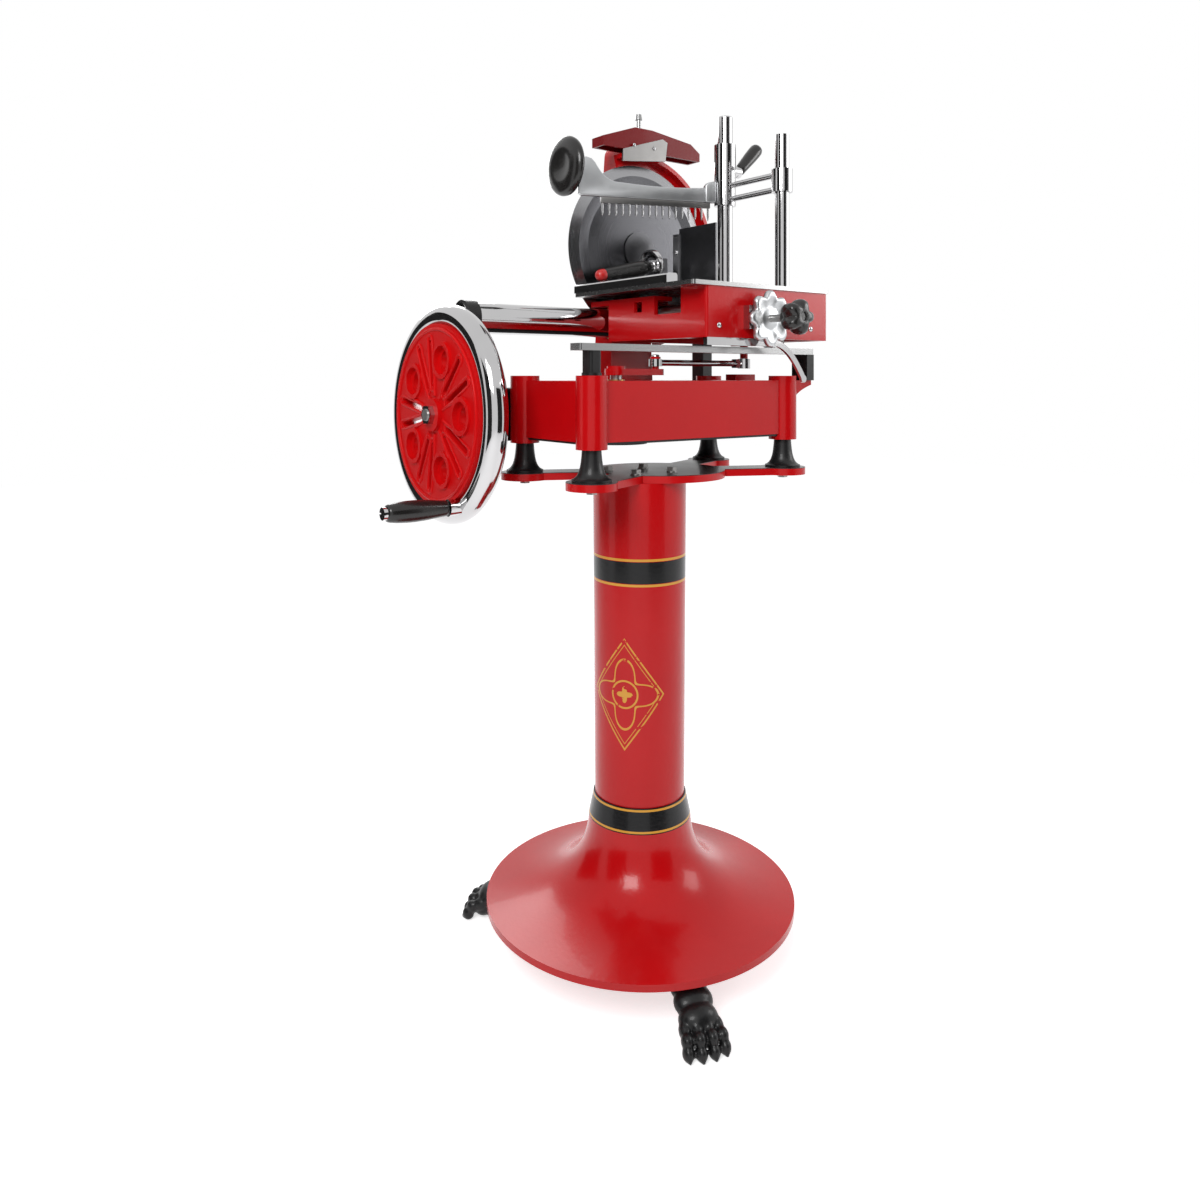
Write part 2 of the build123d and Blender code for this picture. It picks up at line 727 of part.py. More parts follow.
# Round polished rim.
rim_place = Location((wheel_x, shaft_y, shaft_z), (0, 90, 0))
with BuildPart() as flywheel_rim:
    with Locations(rim_place):
        Torus(rim_radius, rim_thickness)
flywheel_rim.part.label = "flywheel_rim"
export_step(flywheel_rim.part, "parts/flywheel_rim.step")

# Cast wheel disc: a hub, five ringed petal holes and five pairs of slots, fitted into the rim.
# Its drawing plane has the wheel axis at 0, 0, with the front of the machine to the right.
wheel_face = Plane(origin=(disc_face_x, shaft_y, shaft_z), x_dir=(0, -1, 0), z_dir=(-1, 0, 0))
with BuildPart() as flywheel_disc:
    with BuildSketch(wheel_face):
        Circle(disc_radius)
    extrude(amount=disc_face_x - disc_back_x)
    with BuildSketch(wheel_face):
        with PolarLocations(petal_circle, spoke_groups):
            Circle(petal_radius)
    extrude(amount=petal_rise)
    with BuildSketch(wheel_face.offset(petal_rise)):
        with PolarLocations(petal_circle, spoke_groups):
            Circle(petal_radius - 8)
    extrude(amount=-petal_rise - 6, mode=Mode.SUBTRACT)
    bar((nut_x, shaft_y, shaft_z), hub_back_x - nut_x, hub_radius, ALONG_X)
    with BuildSketch(wheel_face.offset(petal_rise)):
        with PolarLocations(petal_circle, spoke_groups):
            Circle(petal_bore)
        for group in range(spoke_groups):
            middle = (group + 0.5) * 360 / spoke_groups
            for side in (-slot_spread, slot_spread):
                with Locations(Location((0, 0), middle + side)):
                    with Locations(((slot_inner + slot_outer) / 2, 0)):
                        SlotOverall(slot_outer - slot_inner, slot_width)
    extrude(amount=-60, mode=Mode.SUBTRACT)
    bar((nut_x - 1, shaft_y, shaft_z), 80, wheel_shaft_radius, ALONG_X, Mode.SUBTRACT)
    with Locations(rim_place):
        Torus(rim_radius, rim_thickness, mode=Mode.SUBTRACT)
flywheel_disc.part.label = "flywheel_disc"
export_step(flywheel_disc.part, "parts/flywheel_disc.step")

# Hub nut with a low round cap.
with BuildPart() as flywheel_nut:
    with BuildSketch(Plane.YZ.offset(nut_x)):
        with Locations((shaft_y, shaft_z)):
            RegularPolygon(16, 6, major_radius=False)
            Circle(wheel_shaft_radius, mode=Mode.SUBTRACT)
    extrude(amount=-10)
flywheel_nut.part.label = "flywheel_nut"
export_step(flywheel_nut.part, "parts/flywheel_nut.step")

handle_y = shaft_y - rim_radius * sin(radians(handle_angle))
handle_z = shaft_z - rim_radius * cos(radians(handle_angle))
grip_start = wheel_x - rim_thickness - ferrule_length
grip_end = grip_start - pass_gap - grip_length
# Handle pin, with a ferrule on the rim and a slotted head that keeps the grip on.
with BuildPart() as grip_pin:
    bar((grip_end - 7, handle_y, handle_z), wheel_x - grip_end + 7, grip_pin_radius, ALONG_X)
    taper((grip_start, handle_y, handle_z), 32, ferrule_radius, ferrule_radius - 2, ALONG_X)
    bar((grip_end - 7, handle_y, handle_z), 6.7, 11, ALONG_X)
    block((grip_end - 8, handle_y - 12, handle_z - 1.2), (grip_end - 4, handle_y + 12, handle_z + 1.2),
          mode=Mode.SUBTRACT)
    with Locations(rim_place):
        Torus(rim_radius, rim_thickness, mode=Mode.SUBTRACT)
grip_pin.part.label = "grip_pin"
export_step(grip_pin.part, "parts/grip_pin.step")

# Barrel grip that turns on the pin.
with BuildPart() as crank_grip:
    with BuildSketch(facing_back(handle_y, x=grip_end, z=handle_z)):
        with BuildLine():
            Line((0, grip_pin_radius + running_fit), (0, grip_radius - 5))
            Spline((0, grip_radius - 5), (0.35 * grip_length, grip_radius), (grip_length, grip_radius - 6))
            Line((grip_length, grip_radius - 6), (grip_length, grip_pin_radius + running_fit))
            Line((grip_length, grip_pin_radius + running_fit), (0, grip_pin_radius + running_fit))
        make_face()
    revolve(axis=Axis((0, handle_y, handle_z), (1, 0, 0)))
crank_grip.part.label = "crank_grip"
export_step(crank_grip.part, "parts/crank_grip.step")

# Cross shaft from the wheel shaft forward to the crank gear, with a mitre gear at each end.
with BuildPart() as cross_shaft:
    bar((crank_x, crank_y + apex - bevel_face, shaft_z), shaft_y - crank_y - 2 * (apex - bevel_face),
        cross_shaft_radius, ALONG_Y)
    add(rear_cross_gear)
    add(front_cross_gear)
cross_shaft.part.label = "cross_shaft"
export_step(cross_shaft.part, "parts/cross_shaft.step")

chain_y = arm_front + arm_wall + 16.0
# Chain shaft: mitre gear at the front, chain wheel inside the knife arm.
with BuildPart() as chain_shaft:
    bar((blade_x, shaft_y + apex - bevel_face, shaft_z), chain_y + 14 - shaft_y - apex + bevel_face,
        cross_shaft_radius, ALONG_Y)
    add(chain_gear)
    sprocket(chain_y, shaft_z, sprocket_big, 20)
chain_shaft.part.label = "chain_shaft"
export_step(chain_shaft.part, "parts/chain_shaft.step")

# Drive chain: one loop round both chain wheels.
with BuildPart() as drive_chain:
    with BuildSketch(facing_back(chain_y)):
        with Locations((blade_x, shaft_z)):
            Circle(sprocket_big + pass_gap + chain_thickness)
        with Locations((blade_x, blade_z)):
            Circle(sprocket_small + pass_gap + chain_thickness)
        make_hull()
    extrude(amount=-sprocket_width)
    with BuildSketch(facing_back(chain_y)):
        with Locations((blade_x, shaft_z)):
            Circle(sprocket_big + pass_gap)
        with Locations((blade_x, blade_z)):
            Circle(sprocket_small + pass_gap)
        make_hull()
    extrude(amount=-sprocket_width, mode=Mode.SUBTRACT)
drive_chain.part.label = "drive_chain"
export_step(drive_chain.part, "parts/drive_chain.step")

# ================================================================== crank and connecting rod
crank_pin_x = crank_x + crank_radius
crank_arm_top = crank_arm_bottom + crank_arm_thickness
with BuildPart() as crank_shaft:
    bar((crank_x, crank_y, shaft_z + apex - bevel_face), crank_arm_top + 5 - shaft_z - apex + bevel_face,
        wheel_shaft_radius)
    add(crank_gear)
crank_shaft.part.label = "crank_shaft"
export_step(crank_shaft.part, "parts/crank_shaft.step")

# Red crank arm with its hub, and the bright pin that carries the connecting rod.
with BuildPart() as crank_arm:
    with BuildSketch(Plane.XY.offset(crank_arm_bottom)):
        with Locations((crank_x, crank_y)):
            Circle(crank_hub_radius)
        with Locations((crank_pin_x, crank_y)):
            Circle(crank_eye_radius)
        make_hull()
    extrude(amount=crank_arm_thickness)
    bar((crank_x, crank_y, crank_arm_top), 5, crank_hub_radius - 4)
    bar((crank_x, crank_y, crank_arm_bottom - 1), crank_arm_thickness + 7, wheel_shaft_radius, mode=Mode.SUBTRACT)
    bar((crank_pin_x, crank_y, crank_arm_top), rod_z + rod_eye_height / 2 + 1 - crank_arm_top, crank_pin_radius)
    bar((crank_pin_x, crank_y, rod_z + rod_eye_height / 2 + pass_gap), 4, crank_pin_radius + 3)
crank_arm.part.label = "crank_arm"
export_step(crank_arm.part, "parts/crank_arm.step")

# Connecting rod: an eye on the crank pin, a slim rod, a lock nut and a round joint housing.
joint_x = crank_pin_x + rod_length
with BuildPart() as connecting_rod:
    bar((crank_pin_x, crank_y, rod_z), rod_length, rod_radius, ALONG_X)
    with Locations((crank_pin_x, crank_y, rod_z)):
        Cylinder(rod_eye_radius, rod_eye_height)
        Cylinder(crank_pin_radius + running_fit, rod_eye_height + 1, mode=Mode.SUBTRACT)
    with Locations((joint_x, crank_y, rod_z)):
        Cylinder(rod_eye_radius, rod_joint_height)
    with BuildSketch(Plane.YZ.offset(joint_x - rod_eye_radius - 16)):
        with Locations((crank_y, rod_z)):
            RegularPolygon(9, 6, major_radius=False)
    extrude(amount=10)
connecting_rod.part.label = "connecting_rod"
export_step(connecting_rod.part, "parts/connecting_rod.step")

# ================================================================== blade and its guard
blade_axis = Axis((blade_x, 0, blade_z), (0, 1, 0))
blade_front_y = blade_back_y - blade_thickness
with BuildPart() as blade_shaft:
    bar((blade_x, blade_front_y + blade_dish, blade_z), chain_y + 14 - blade_front_y - blade_dish,
        blade_shaft_radius, ALONG_Y)
    bar((blade_x, blade_back_y, blade_z), flange_thickness, flange_radius, ALONG_Y)
    bar((blade_x, blade_front_y - 1, blade_z), blade_dish + 1, cap_radius, ALONG_Y)
    sprocket(chain_y, blade_z, sprocket_small, 9)
blade_shaft.part.label = "blade_shaft"
export_step(blade_shaft.part, "parts/blade_shaft.step")

# Round knife: dished face, raised land and a long bevel down to the edge at the back.
land_radius = blade_radius - blade_bevel
with BuildPart() as blade:
    with BuildSketch(Plane((blade_x, 0, blade_z))):
        with BuildLine():
            Polyline(
                (blade_shaft_radius + 0.05, blade_back_y),
                (blade_shaft_radius + 0.05, blade_front_y + blade_dish),
                (land_radius - 25, blade_front_y + blade_dish),
                (land_radius, blade_front_y),
                (blade_radius, blade_back_y - 0.4),
                (blade_radius, blade_back_y),
                close=True,
            )
        make_face()
    revolve(axis=blade_axis)
blade.part.label = "blade"
export_step(blade.part, "parts/blade.step")

# Blade guard: half of a dish round the blade's idle side, with a gap at the top for the stones.
window_half = stone_radius + 8
with BuildPart() as blade_guard:
    guard_plane = facing_back(guard_front_y, x=blade_x, z=blade_z)
    guard_reach = 2 * guard_radius
    cut_corners = [
        (0, 0),
        (guard_reach * cos(radians(guard_end)), guard_reach * sin(radians(guard_end))),
        (-guard_reach, guard_reach),
        (-guard_reach, -guard_reach),
        (guard_reach * cos(radians(guard_start)), -guard_reach),
    ]
    with BuildSketch(guard_plane):
        Circle(guard_radius)
        Polygon(*cut_corners, align=None, mode=Mode.SUBTRACT)
    extrude(amount=guard_front_y - guard_back_y)
    with BuildSketch(guard_plane):
        Circle(guard_radius - guard_wall)
    extrude(amount=guard_front_y - guard_back_y + guard_plate, mode=Mode.SUBTRACT)
    bar((blade_x, guard_front_y, blade_z), 40, flange_radius + 4, ALONG_Y, Mode.SUBTRACT)
    block(
        (blade_x - window_half, guard_front_y - 1, blade_z + blade_radius - 30),
        (blade_x + window_half, guard_back_y - guard_plate, blade_z + guard_radius + 5),
        mode=Mode.SUBTRACT,
    )
    # two stand-offs seat the guard on the knife arm
    for aside, height in ((32, -80), (24, 85)):
        bar((blade_x + aside, guard_back_y - 1, blade_z + height), arm_front - guard_back_y + 1, 12, ALONG_Y)
blade_guard.part.label = "blade_guard"
export_step(blade_guard.part, "parts/blade_guard.step")

# Deflector that turns the slices away behind the blade.
with BuildPart() as slice_deflector:
    block((blade_x - 150, blade_back_y + 4, blade_z - 80), (blade_x - 50, blade_back_y + 6, blade_z + 80))
    block((blade_x - 54, blade_back_y + 4, blade_z + 50), (blade_x - 28, arm_front, blade_z + 80))
slice_deflector.part.label = "slice_deflector"
export_step(slice_deflector.part, "parts/slice_deflector.step")

# ================================================================== sharpener
housing_depth = arm_front - housing_front_y
with BuildPart() as sharpener_housing:
    with BuildSketch(facing_back(housing_front_y)):
        with BuildLine():
            Polyline(
                (housing_left, housing_bottom),
                (housing_left, housing_bottom + 20),
                (blade_x - 22, housing_peak_z),
                (blade_x + 26, housing_peak_z),
                (housing_right - 27, housing_peak_z - 14),
                (housing_right, housing_peak_z - 32),
                (housing_right, housing_bottom),
                close=True,
            )
        make_face()
    extrude(amount=-housing_depth)
    top_edges = edges().filter_by(Axis.Y).group_by(Axis.Z)[-1]
    fillet(top_edges, radius=6)
    with BuildSketch(facing_back(housing_front_y + housing_wall)):
        with BuildLine():
            Polyline(
                (housing_left + housing_wall, housing_bottom),
                (housing_left + housing_wall, housing_bottom + 16),
                (blade_x - 21, housing_peak_z - housing_wall - 2),
                (blade_x + 25, housing_peak_z - housing_wall - 2),
                (housing_right - 30, housing_peak_z - 20),
                (housing_right - housing_wall, housing_peak_z - 38),
                (housing_right - housing_wall, housing_bottom),
                close=True,
            )
        make_face()
    extrude(amount=2 * housing_wall - housing_depth, mode=Mode.SUBTRACT)
    bar((blade_x, blade_back_y - 2, housing_peak_z - 20), 40, 5 + running_fit, mode=Mode.SUBTRACT)
sharpener_housing.part.label = "sharpener_housing"
export_step(sharpener_housing.part, "parts/sharpener_housing.step")

# Steel plate on the front of the sharpener, over the stones.
with BuildPart() as sharpener_plate:
    with BuildSketch(facing_back(housing_front_y - 4)):
        with BuildLine():
            Polyline(
                (blade_x - 58, housing_bottom - 28),
                (blade_x - 58, housing_bottom - 2),
                (blade_x + 52, housing_bottom + 34),
                (blade_x + 66, housing_bottom + 28),
                (blade_x + 60, housing_bottom - 14),
                close=True,
            )
        make_face()
    extrude(amount=-4)
sharpener_plate.part.label = "sharpener_plate"
export_step(sharpener_plate.part, "parts/sharpener_plate.step")

# Push rod with a yoke astride the blade's edge, and its knob on top.
yoke_z = stone_z + stone_radius + 4
front_stone_y = blade_front_y - 1 - stone_width
rear_stone_y = blade_back_y + 1
with BuildPart() as sharpener_rod:
    bar((blade_x, blade_back_y - 2, yoke_z), housing_peak_z + 26 - yoke_z, 5)
    taper((blade_x, blade_back_y - 2, housing_peak_z + 22), 12, 8, 6)
    block((blade_x - 8, front_stone_y, yoke_z - 1), (blade_x + 8, rear_stone_y + stone_width + 3, yoke_z + 6))
    block((blade_x - 6, front_stone_y - 0.5, stone_z), (blade_x + 6, front_stone_y + 1, yoke_z + 1))
    block((blade_x - 6, rear_stone_y + stone_width, stone_z), (blade_x + 6, rear_stone_y + stone_width + 3, yoke_z + 1))
sharpener_rod.part.label = "sharpener_rod"
export_step(sharpener_rod.part, "parts/sharpener_rod.step")

# Grinding stone at the front of the edge and honing stone behind it.
with BuildPart() as sharpening_stones:
    bar((blade_x, front_stone_y + 1, stone_z), stone_width - 1, stone_radius, ALONG_Y)
    bar((blade_x, rear_stone_y, stone_z), stone_width, stone_radius, ALONG_Y)
sharpening_stones.part.label = "sharpening_stones"
export_step(sharpening_stones.part, "parts/sharpening_stones.step")

# ================================================================== ways of the carriage
# Polished guide tube across the back.
with BuildPart() as guide_tube:
    bar((tube_left, shaft_y, tube_z), tube_right - tube_left, tube_radius, ALONG_X)
    bar((tube_left - 1, shaft_y, tube_z), tube_right - tube_left + 2, tube_radius - tube_wall, ALONG_X, Mode.SUBTRACT)
guide_tube.part.label = "guide_tube"
export_step(guide_tube.part, "parts/guide_tube.step")

# Two cast brackets stand on the drive case and hold the tube in a ring.
ring_radius = tube_radius + bracket_ring
with BuildPart() as tube_brackets:
    for x in (case_left + 2, case_right - bracket_width - 6):
        bar((x, shaft_y, tube_z), bracket_width, ring_radius, ALONG_X)
        block((x, shaft_y - 18, case_top), (x + bracket_width, shaft_y + 18, tube_z))
        block((x - 2 * (x > 0), shaft_y - 26, case_top), (x + bracket_width, shaft_y + 26, case_top + 10))
        bar((x - 1, shaft_y, tube_z), bracket_width + 2, tube_radius, ALONG_X, Mode.SUBTRACT)
tube_brackets.part.label = "tube_brackets"
export_step(tube_brackets.part, "parts/tube_brackets.step")

# Flat rail along the front, for the carriage roller.
with BuildPart() as front_rail:
    block(
        (rail_left, rail_y - rail_width / 2, rail_bottom),
        (rail_right, rail_y + rail_width / 2, rail_bottom + rail_thickness),
    )
    fillet(edges().filter_by(Axis.Z), radius=4)
front_rail.part.label = "front_rail"
export_step(front_rail.part, "parts/front_rail.step")

# Post under the left end of the rail and cast bracket under its right end, each with a bolt.
boss_top = base_top + boss_rise
with BuildPart() as rail_mounts:
    with Locations((boss_places[0][0], rail_y, (boss_top + rail_bottom) / 2)):
        Box(24, 26, rail_bottom - boss_top)
        fillet(edges().filter_by(Axis.Z), radius=5)
    bar((boss_places[0][0], rail_y, boss_top), 5, 17)
    block((rail_right - 26, rail_y - 20, base_top), (rail_right - 6, rail_y + 20, rail_bottom))
    bar((rail_right - 27, rail_y, rail_bottom - 14), 25, 7, ALONG_X)
rail_mounts.part.label = "rail_mounts"
export_step(rail_mounts.part, "parts/rail_mounts.step")

# ================================================================== carriage
inner_wall_y = carriage_front + front_box_depth
bearing_x = (carriage_left + 34, carriage_right - 109)
feed_bush_radius = feed_radius + 6.0
bearing_bush_radius = tube_radius + 4.0
with BuildPart() as carriage_body:
    block((carriage_left, carriage_front, carriage_bottom), (carriage_right, inner_wall_y, carriage_top))
    block((carriage_left, inner_wall_y, carriage_bottom), (carriage_right, carriage_back, rear_top))
    fillet(edges().filter_by(Axis.Z).group_by(Axis.Y)[0], radius=5)
    block(
        (carriage_left + carriage_wall, carriage_front + carriage_wall, carriage_bottom),
        (carriage_right - carriage_wall, inner_wall_y - carriage_wall, carriage_top - carriage_wall),
        mode=Mode.SUBTRACT,
    )
    block(
        (carriage_left + carriage_wall, inner_wall_y, carriage_bottom),
        (carriage_right - carriage_wall, carriage_back - carriage_wall, rear_top - carriage_wall),
        mode=Mode.SUBTRACT,
    )
    # open frame under the table, and two openings in the left wall
    block((frame_left, inner_wall_y + 6, rear_top - 15), (frame_right, carriage_back - 8, rear_top + 1), Mode.SUBTRACT)
    block((carriage_left - 1, inner_wall_y, rear_top - 36), (frame_left, inner_wall_y + 76, rear_top + 1),
          Mode.SUBTRACT)
    block((carriage_left - 1, inner_wall_y + 114, rear_top - 29),
          (carriage_left + 9, inner_wall_y + 138, rear_top - 9), Mode.SUBTRACT)
    # flange over the tube, and the two bearings that run on it
    block((carriage_left, carriage_back - 1, flange_bottom), (carriage_right, flange_back, rear_top))
    for x in bearing_x:
        bar((x, shaft_y, tube_z), bearing_width, bearing_radius, ALONG_X)
        block((x, carriage_back - 5, tube_z - 35), (x + bearing_width, shaft_y, flange_bottom + 1))
        bar((x - 1, shaft_y, tube_z), bearing_width + 2, bearing_bush_radius, ALONG_X, Mode.SUBTRACT)
    # bores of the feed screw, the table rods and the roller pin
    bar((feed_x, carriage_front - 1, feed_z), carriage_wall + 2, feed_bush_radius, ALONG_Y, Mode.SUBTRACT)
    bar((feed_x, inner_wall_y - 9, feed_z), 10, feed_radius + 2, ALONG_Y, Mode.SUBTRACT)
    bar((feed_x, carriage_back - 9, feed_z), 10, feed_journal + running_fit, ALONG_Y, Mode.SUBTRACT)
    for x in table_rod_x:
        bar((x, inner_wall_y - 6, table_rod_z), carriage_back - inner_wall_y + 2, table_rod_radius, ALONG_Y,
            Mode.SUBTRACT)
    bar((roller_x, carriage_front + 3, rail_bottom + rail_thickness + roller_radius + pass_gap),
        front_box_depth - 6, axle_radius + running_fit, ALONG_Y, Mode.SUBTRACT)
    bar((joint_x, crank_y, carriage_bottom - 1), 20, 3, mode=Mode.SUBTRACT)
carriage_body.part.label = "carriage_body"
export_step(carriage_body.part, "parts/carriage_body.step")

# Bronze sleeves in the tube bearings and in the front wall for the feed screw.
with BuildPart() as carriage_bushes:
    for x in bearing_x:
        bush((x, shaft_y, tube_z), bearing_width, tube_radius + running_fit, bearing_bush_radius, ALONG_X)
    bush((feed_x, carriage_front - 4, feed_z), carriage_wall + 4, feed_radius + running_fit, feed_bush_radius, ALONG_Y)
carriage_bushes.part.label = "carriage_bushes"
export_step(carriage_bushes.part, "parts/carriage_bushes.step")

# Two round rods in the carriage that carry the table.
with BuildPart() as table_rods:
    for x in table_rod_x:
        bar((x, inner_wall_y - 6, table_rod_z), carriage_back - inner_wall_y + 2, table_rod_radius, ALONG_Y)
table_rods.part.label = "table_rods"
export_step(table_rods.part, "parts/table_rods.step")

# Roller on the front rail, one piece with its pin.
roller_z = rail_bottom + rail_thickness + roller_radius + pass_gap
with BuildPart() as rail_roller:
    bar((roller_x, carriage_front + 3.5, roller_z), front_box_depth - 7, axle_radius, ALONG_Y)
    bar((roller_x, rail_y - roller_width / 2, roller_z), roller_width, roller_radius, ALONG_Y)
rail_roller.part.label = "rail_roller"
export_step(rail_roller.part, "parts/rail_roller.step")

strip_y = carriage_front - 2.0
lever_pivot = (feed_x + 30, carriage_bottom - 7)
# Bright strip under the carriage front and a small index block on its face.
with BuildPart() as carriage_strip:
    block((carriage_left, strip_y, carriage_bottom - strip_height), (feed_x + 44, strip_y + 10, carriage_bottom))
    bar((lever_pivot[0], strip_y - 1, lever_pivot[1]), 12, 4 + running_fit, ALONG_Y, Mode.SUBTRACT)
    block((feed_x - 43, carriage_front - 15, feed_z - 20), (feed_x - 31, carriage_front, feed_z + 24))
carriage_strip.part.label = "carriage_strip"
export_step(carriage_strip.part, "parts/carriage_strip.step")

# Curved flat stroke lever that hangs from the strip.
with BuildPart() as stroke_lever:
    with BuildSketch(facing_back(strip_y - 6, x=lever_pivot[0], z=lever_pivot[1])):
        with BuildLine():
            Spline((0, 0), (36, -14), (64, -42), (82, -68))
        trace(line_width=11)
        Circle(9)
        with Locations((82, -68)):
            Circle(7)
    extrude(amount=-6)
    bar((lever_pivot[0], strip_y - 8, lever_pivot[1]), 17, 4, ALONG_Y)
stroke_lever.part.label = "stroke_lever"
export_step(stroke_lever.part, "parts/stroke_lever.step")

# Red drive bracket under the carriage, with the stud that the rod's joint turns on.
with BuildPart() as drive_bracket:
    block((joint_x - 18, inner_wall_y - 8, carriage_bottom - 8), (joint_x + 18, crank_y + 20, carriage_bottom))
    bar((joint_x, crank_y, rod_z + rod_joint_height / 2 + pass_gap), carriage_bottom - 4 - rod_z - 10 - pass_gap, 8)
drive_bracket.part.label = "drive_bracket"
export_step(drive_bracket.part, "parts/drive_bracket.step")

# ================================================================== table and feed screw
nut_y = inner_wall_y + 136.0
with BuildPart() as meat_table:
    block((table_left, table_front, carriage_top), (table_right, table_back, table_top))
    fillet(edges().filter_by(Axis.Z), radius=6)
    for x in table_rod_x:
        block((x - 12, nut_y - 10, table_rod_z - 12), (x + 12, nut_y + 50, carriage_top))
        bar((x, nut_y - 11, table_rod_z), 62, table_rod_radius + running_fit, ALONG_Y, Mode.SUBTRACT)
    block((feed_x - 16, nut_y, feed_z - 16), (feed_x + 16, nut_y + 40, carriage_top))
    bar((feed_x, nut_y - 1, feed_z), 42, feed_radius + running_fit, ALONG_Y, Mode.SUBTRACT)
meat_table.part.label = "meat_table"
export_step(meat_table.part, "parts/meat_table.step")

# Bright steel cheek along the table's left edge.
with BuildPart() as table_cheek:
    block((table_left, inner_wall_y, table_top), (table_left + cheek_width, table_back, table_top + cheek_height))
    fillet(edges().filter_by(Axis.Y).group_by(Axis.Z)[-1], radius=5)
table_cheek.part.label = "table_cheek"
export_step(table_cheek.part, "parts/table_cheek.step")

# Tall and short guide posts of the gripper.
with BuildPart() as guide_posts:
    bar((post_x, tall_post_y, table_top), tall_post_top - table_top, tall_post_radius)
    bar((post_x, short_post_y, table_top), short_post_top - table_top, short_post_radius)
    fillet(edges().filter_by(GeomType.CIRCLE).group_by(Axis.Z)[-1], radius=3)
guide_posts.part.label = "guide_posts"
export_step(guide_posts.part, "parts/guide_posts.step")

# Dark side fence with a bright upright bar behind it.
with BuildPart() as side_fence:
    block((post_x - 2, fence_start, table_top), (post_x + fence_thickness - 2, fence_end, table_top + fence_height))
side_fence.part.label = "side_fence"
export_step(side_fence.part, "parts/side_fence.step")

with BuildPart() as fence_bar:
    block((post_x - 6, fence_end, table_top), (post_x + 6, fence_end + 16, table_top + fence_height - 11))
    bar((post_x - 10, fence_end + 8, table_top + fence_height - 50), 20, 5, ALONG_X)
fence_bar.part.label = "fence_bar"
export_step(fence_bar.part, "parts/fence_bar.step")

# The lever's own axis runs down to the left. Its plane has the disc at 0, 0 and the handle along its normal.
lever_down = (-cos(radians(lever_tilt)), 0, -sin(radians(lever_tilt)))
lever_plane = Plane((lever_x, lever_y, lever_z), x_dir=(0, 1, 0), z_dir=lever_down)
with BuildPart() as lever_stand:
    block((lever_x + 16, lever_y - 11, table_top), (lever_x + 34, lever_y + 11, lever_z + 18))
    block((lever_x + 12, lever_y - 18, table_top), (lever_x + 38, lever_y + 18, table_top + 8))
    with Locations(lever_plane.location):
        Cylinder(lever_pin_radius + running_fit, 120, mode=Mode.SUBTRACT)
lever_stand.part.label = "lever_stand"
export_step(lever_stand.part, "parts/lever_stand.step")

# Table lever: a round disc on a pin, with a long black handle.
with BuildPart() as table_lever:
    with Locations(lever_plane.location):
        Cylinder(lever_ring_radius, 12)
    with Locations(lever_plane.offset(-34).location):
        Cylinder(lever_pin_radius, 40, align=FROM_END)
    with Locations(lever_plane.offset(lever_root).location):
        Cone(13, lever_swell_radius, lever_swell - lever_root, align=FROM_END)
    with Locations(lever_plane.offset(lever_swell).location):
        Cone(lever_swell_radius, 11, lever_length - lever_swell, align=FROM_END)
    fillet(edges().filter_by(GeomType.CIRCLE).group_by(Axis.X)[0], radius=6)
table_lever.part.label = "table_lever"
export_step(table_lever.part, "parts/table_lever.step")

# Feed screw with a journal at its far end.
with BuildPart() as feed_screw:
    bar((feed_x, knob_y + 4, feed_z), feed_wheel_y - 2 - knob_y - 4, knob_stem, ALONG_Y)
    bar((feed_x, feed_wheel_y - 2, feed_z), carriage_back - 10 - feed_wheel_y + 2, feed_radius, ALONG_Y)
    bar((feed_x, carriage_back - 11, feed_z), 9, feed_journal, ALONG_Y)
feed_screw.part.label = "feed_screw"
export_step(feed_screw.part, "parts/feed_screw.step")


def lobed_disc(y, depth, radius, lobes, lobe_radius):
    """A hand wheel with a scalloped rim, on the feed screw's axis."""
    with BuildSketch(facing_back(y, x=feed_x, z=feed_z)) as outline:
        Circle(radius - lobe_radius * 0.6)
        with PolarLocations(radius - lobe_radius, lobes, start_angle=90):
            Circle(lobe_radius)
    extrude(outline.sketch, amount=-depth)


# Grey lobed hand wheel.
with BuildPart() as feed_wheel:
    lobed_disc(feed_wheel_y - feed_wheel_width, feed_wheel_width, feed_wheel_radius, feed_lobes, 15)
    bar((feed_x, feed_wheel_y - 1, feed_z), carriage_front - 4 - feed_wheel_y + 0.7, feed_bush_radius, ALONG_Y)
    bar((feed_x, feed_wheel_y - 40, feed_z), 38, knob_stem, ALONG_Y, Mode.SUBTRACT)
    bar((feed_x, feed_wheel_y - 2, feed_z), 40, feed_radius, ALONG_Y, Mode.SUBTRACT)
feed_wheel.part.label = "feed_wheel"
export_step(feed_wheel.part, "parts/feed_wheel.step")

# Black lobed knob in front of it.
with BuildPart() as feed_knob:
    lobed_disc(knob_y - knob_length, knob_length, knob_radius, knob_lobes, 14)
    bar((feed_x, knob_y - 1, feed_z), 12, 12, ALONG_Y)
    bar((feed_x, knob_y + 4, feed_z), 40, knob_stem, ALONG_Y, Mode.SUBTRACT)
feed_knob.part.label = "feed_knob"
export_step(feed_knob.part, "parts/feed_knob.step")

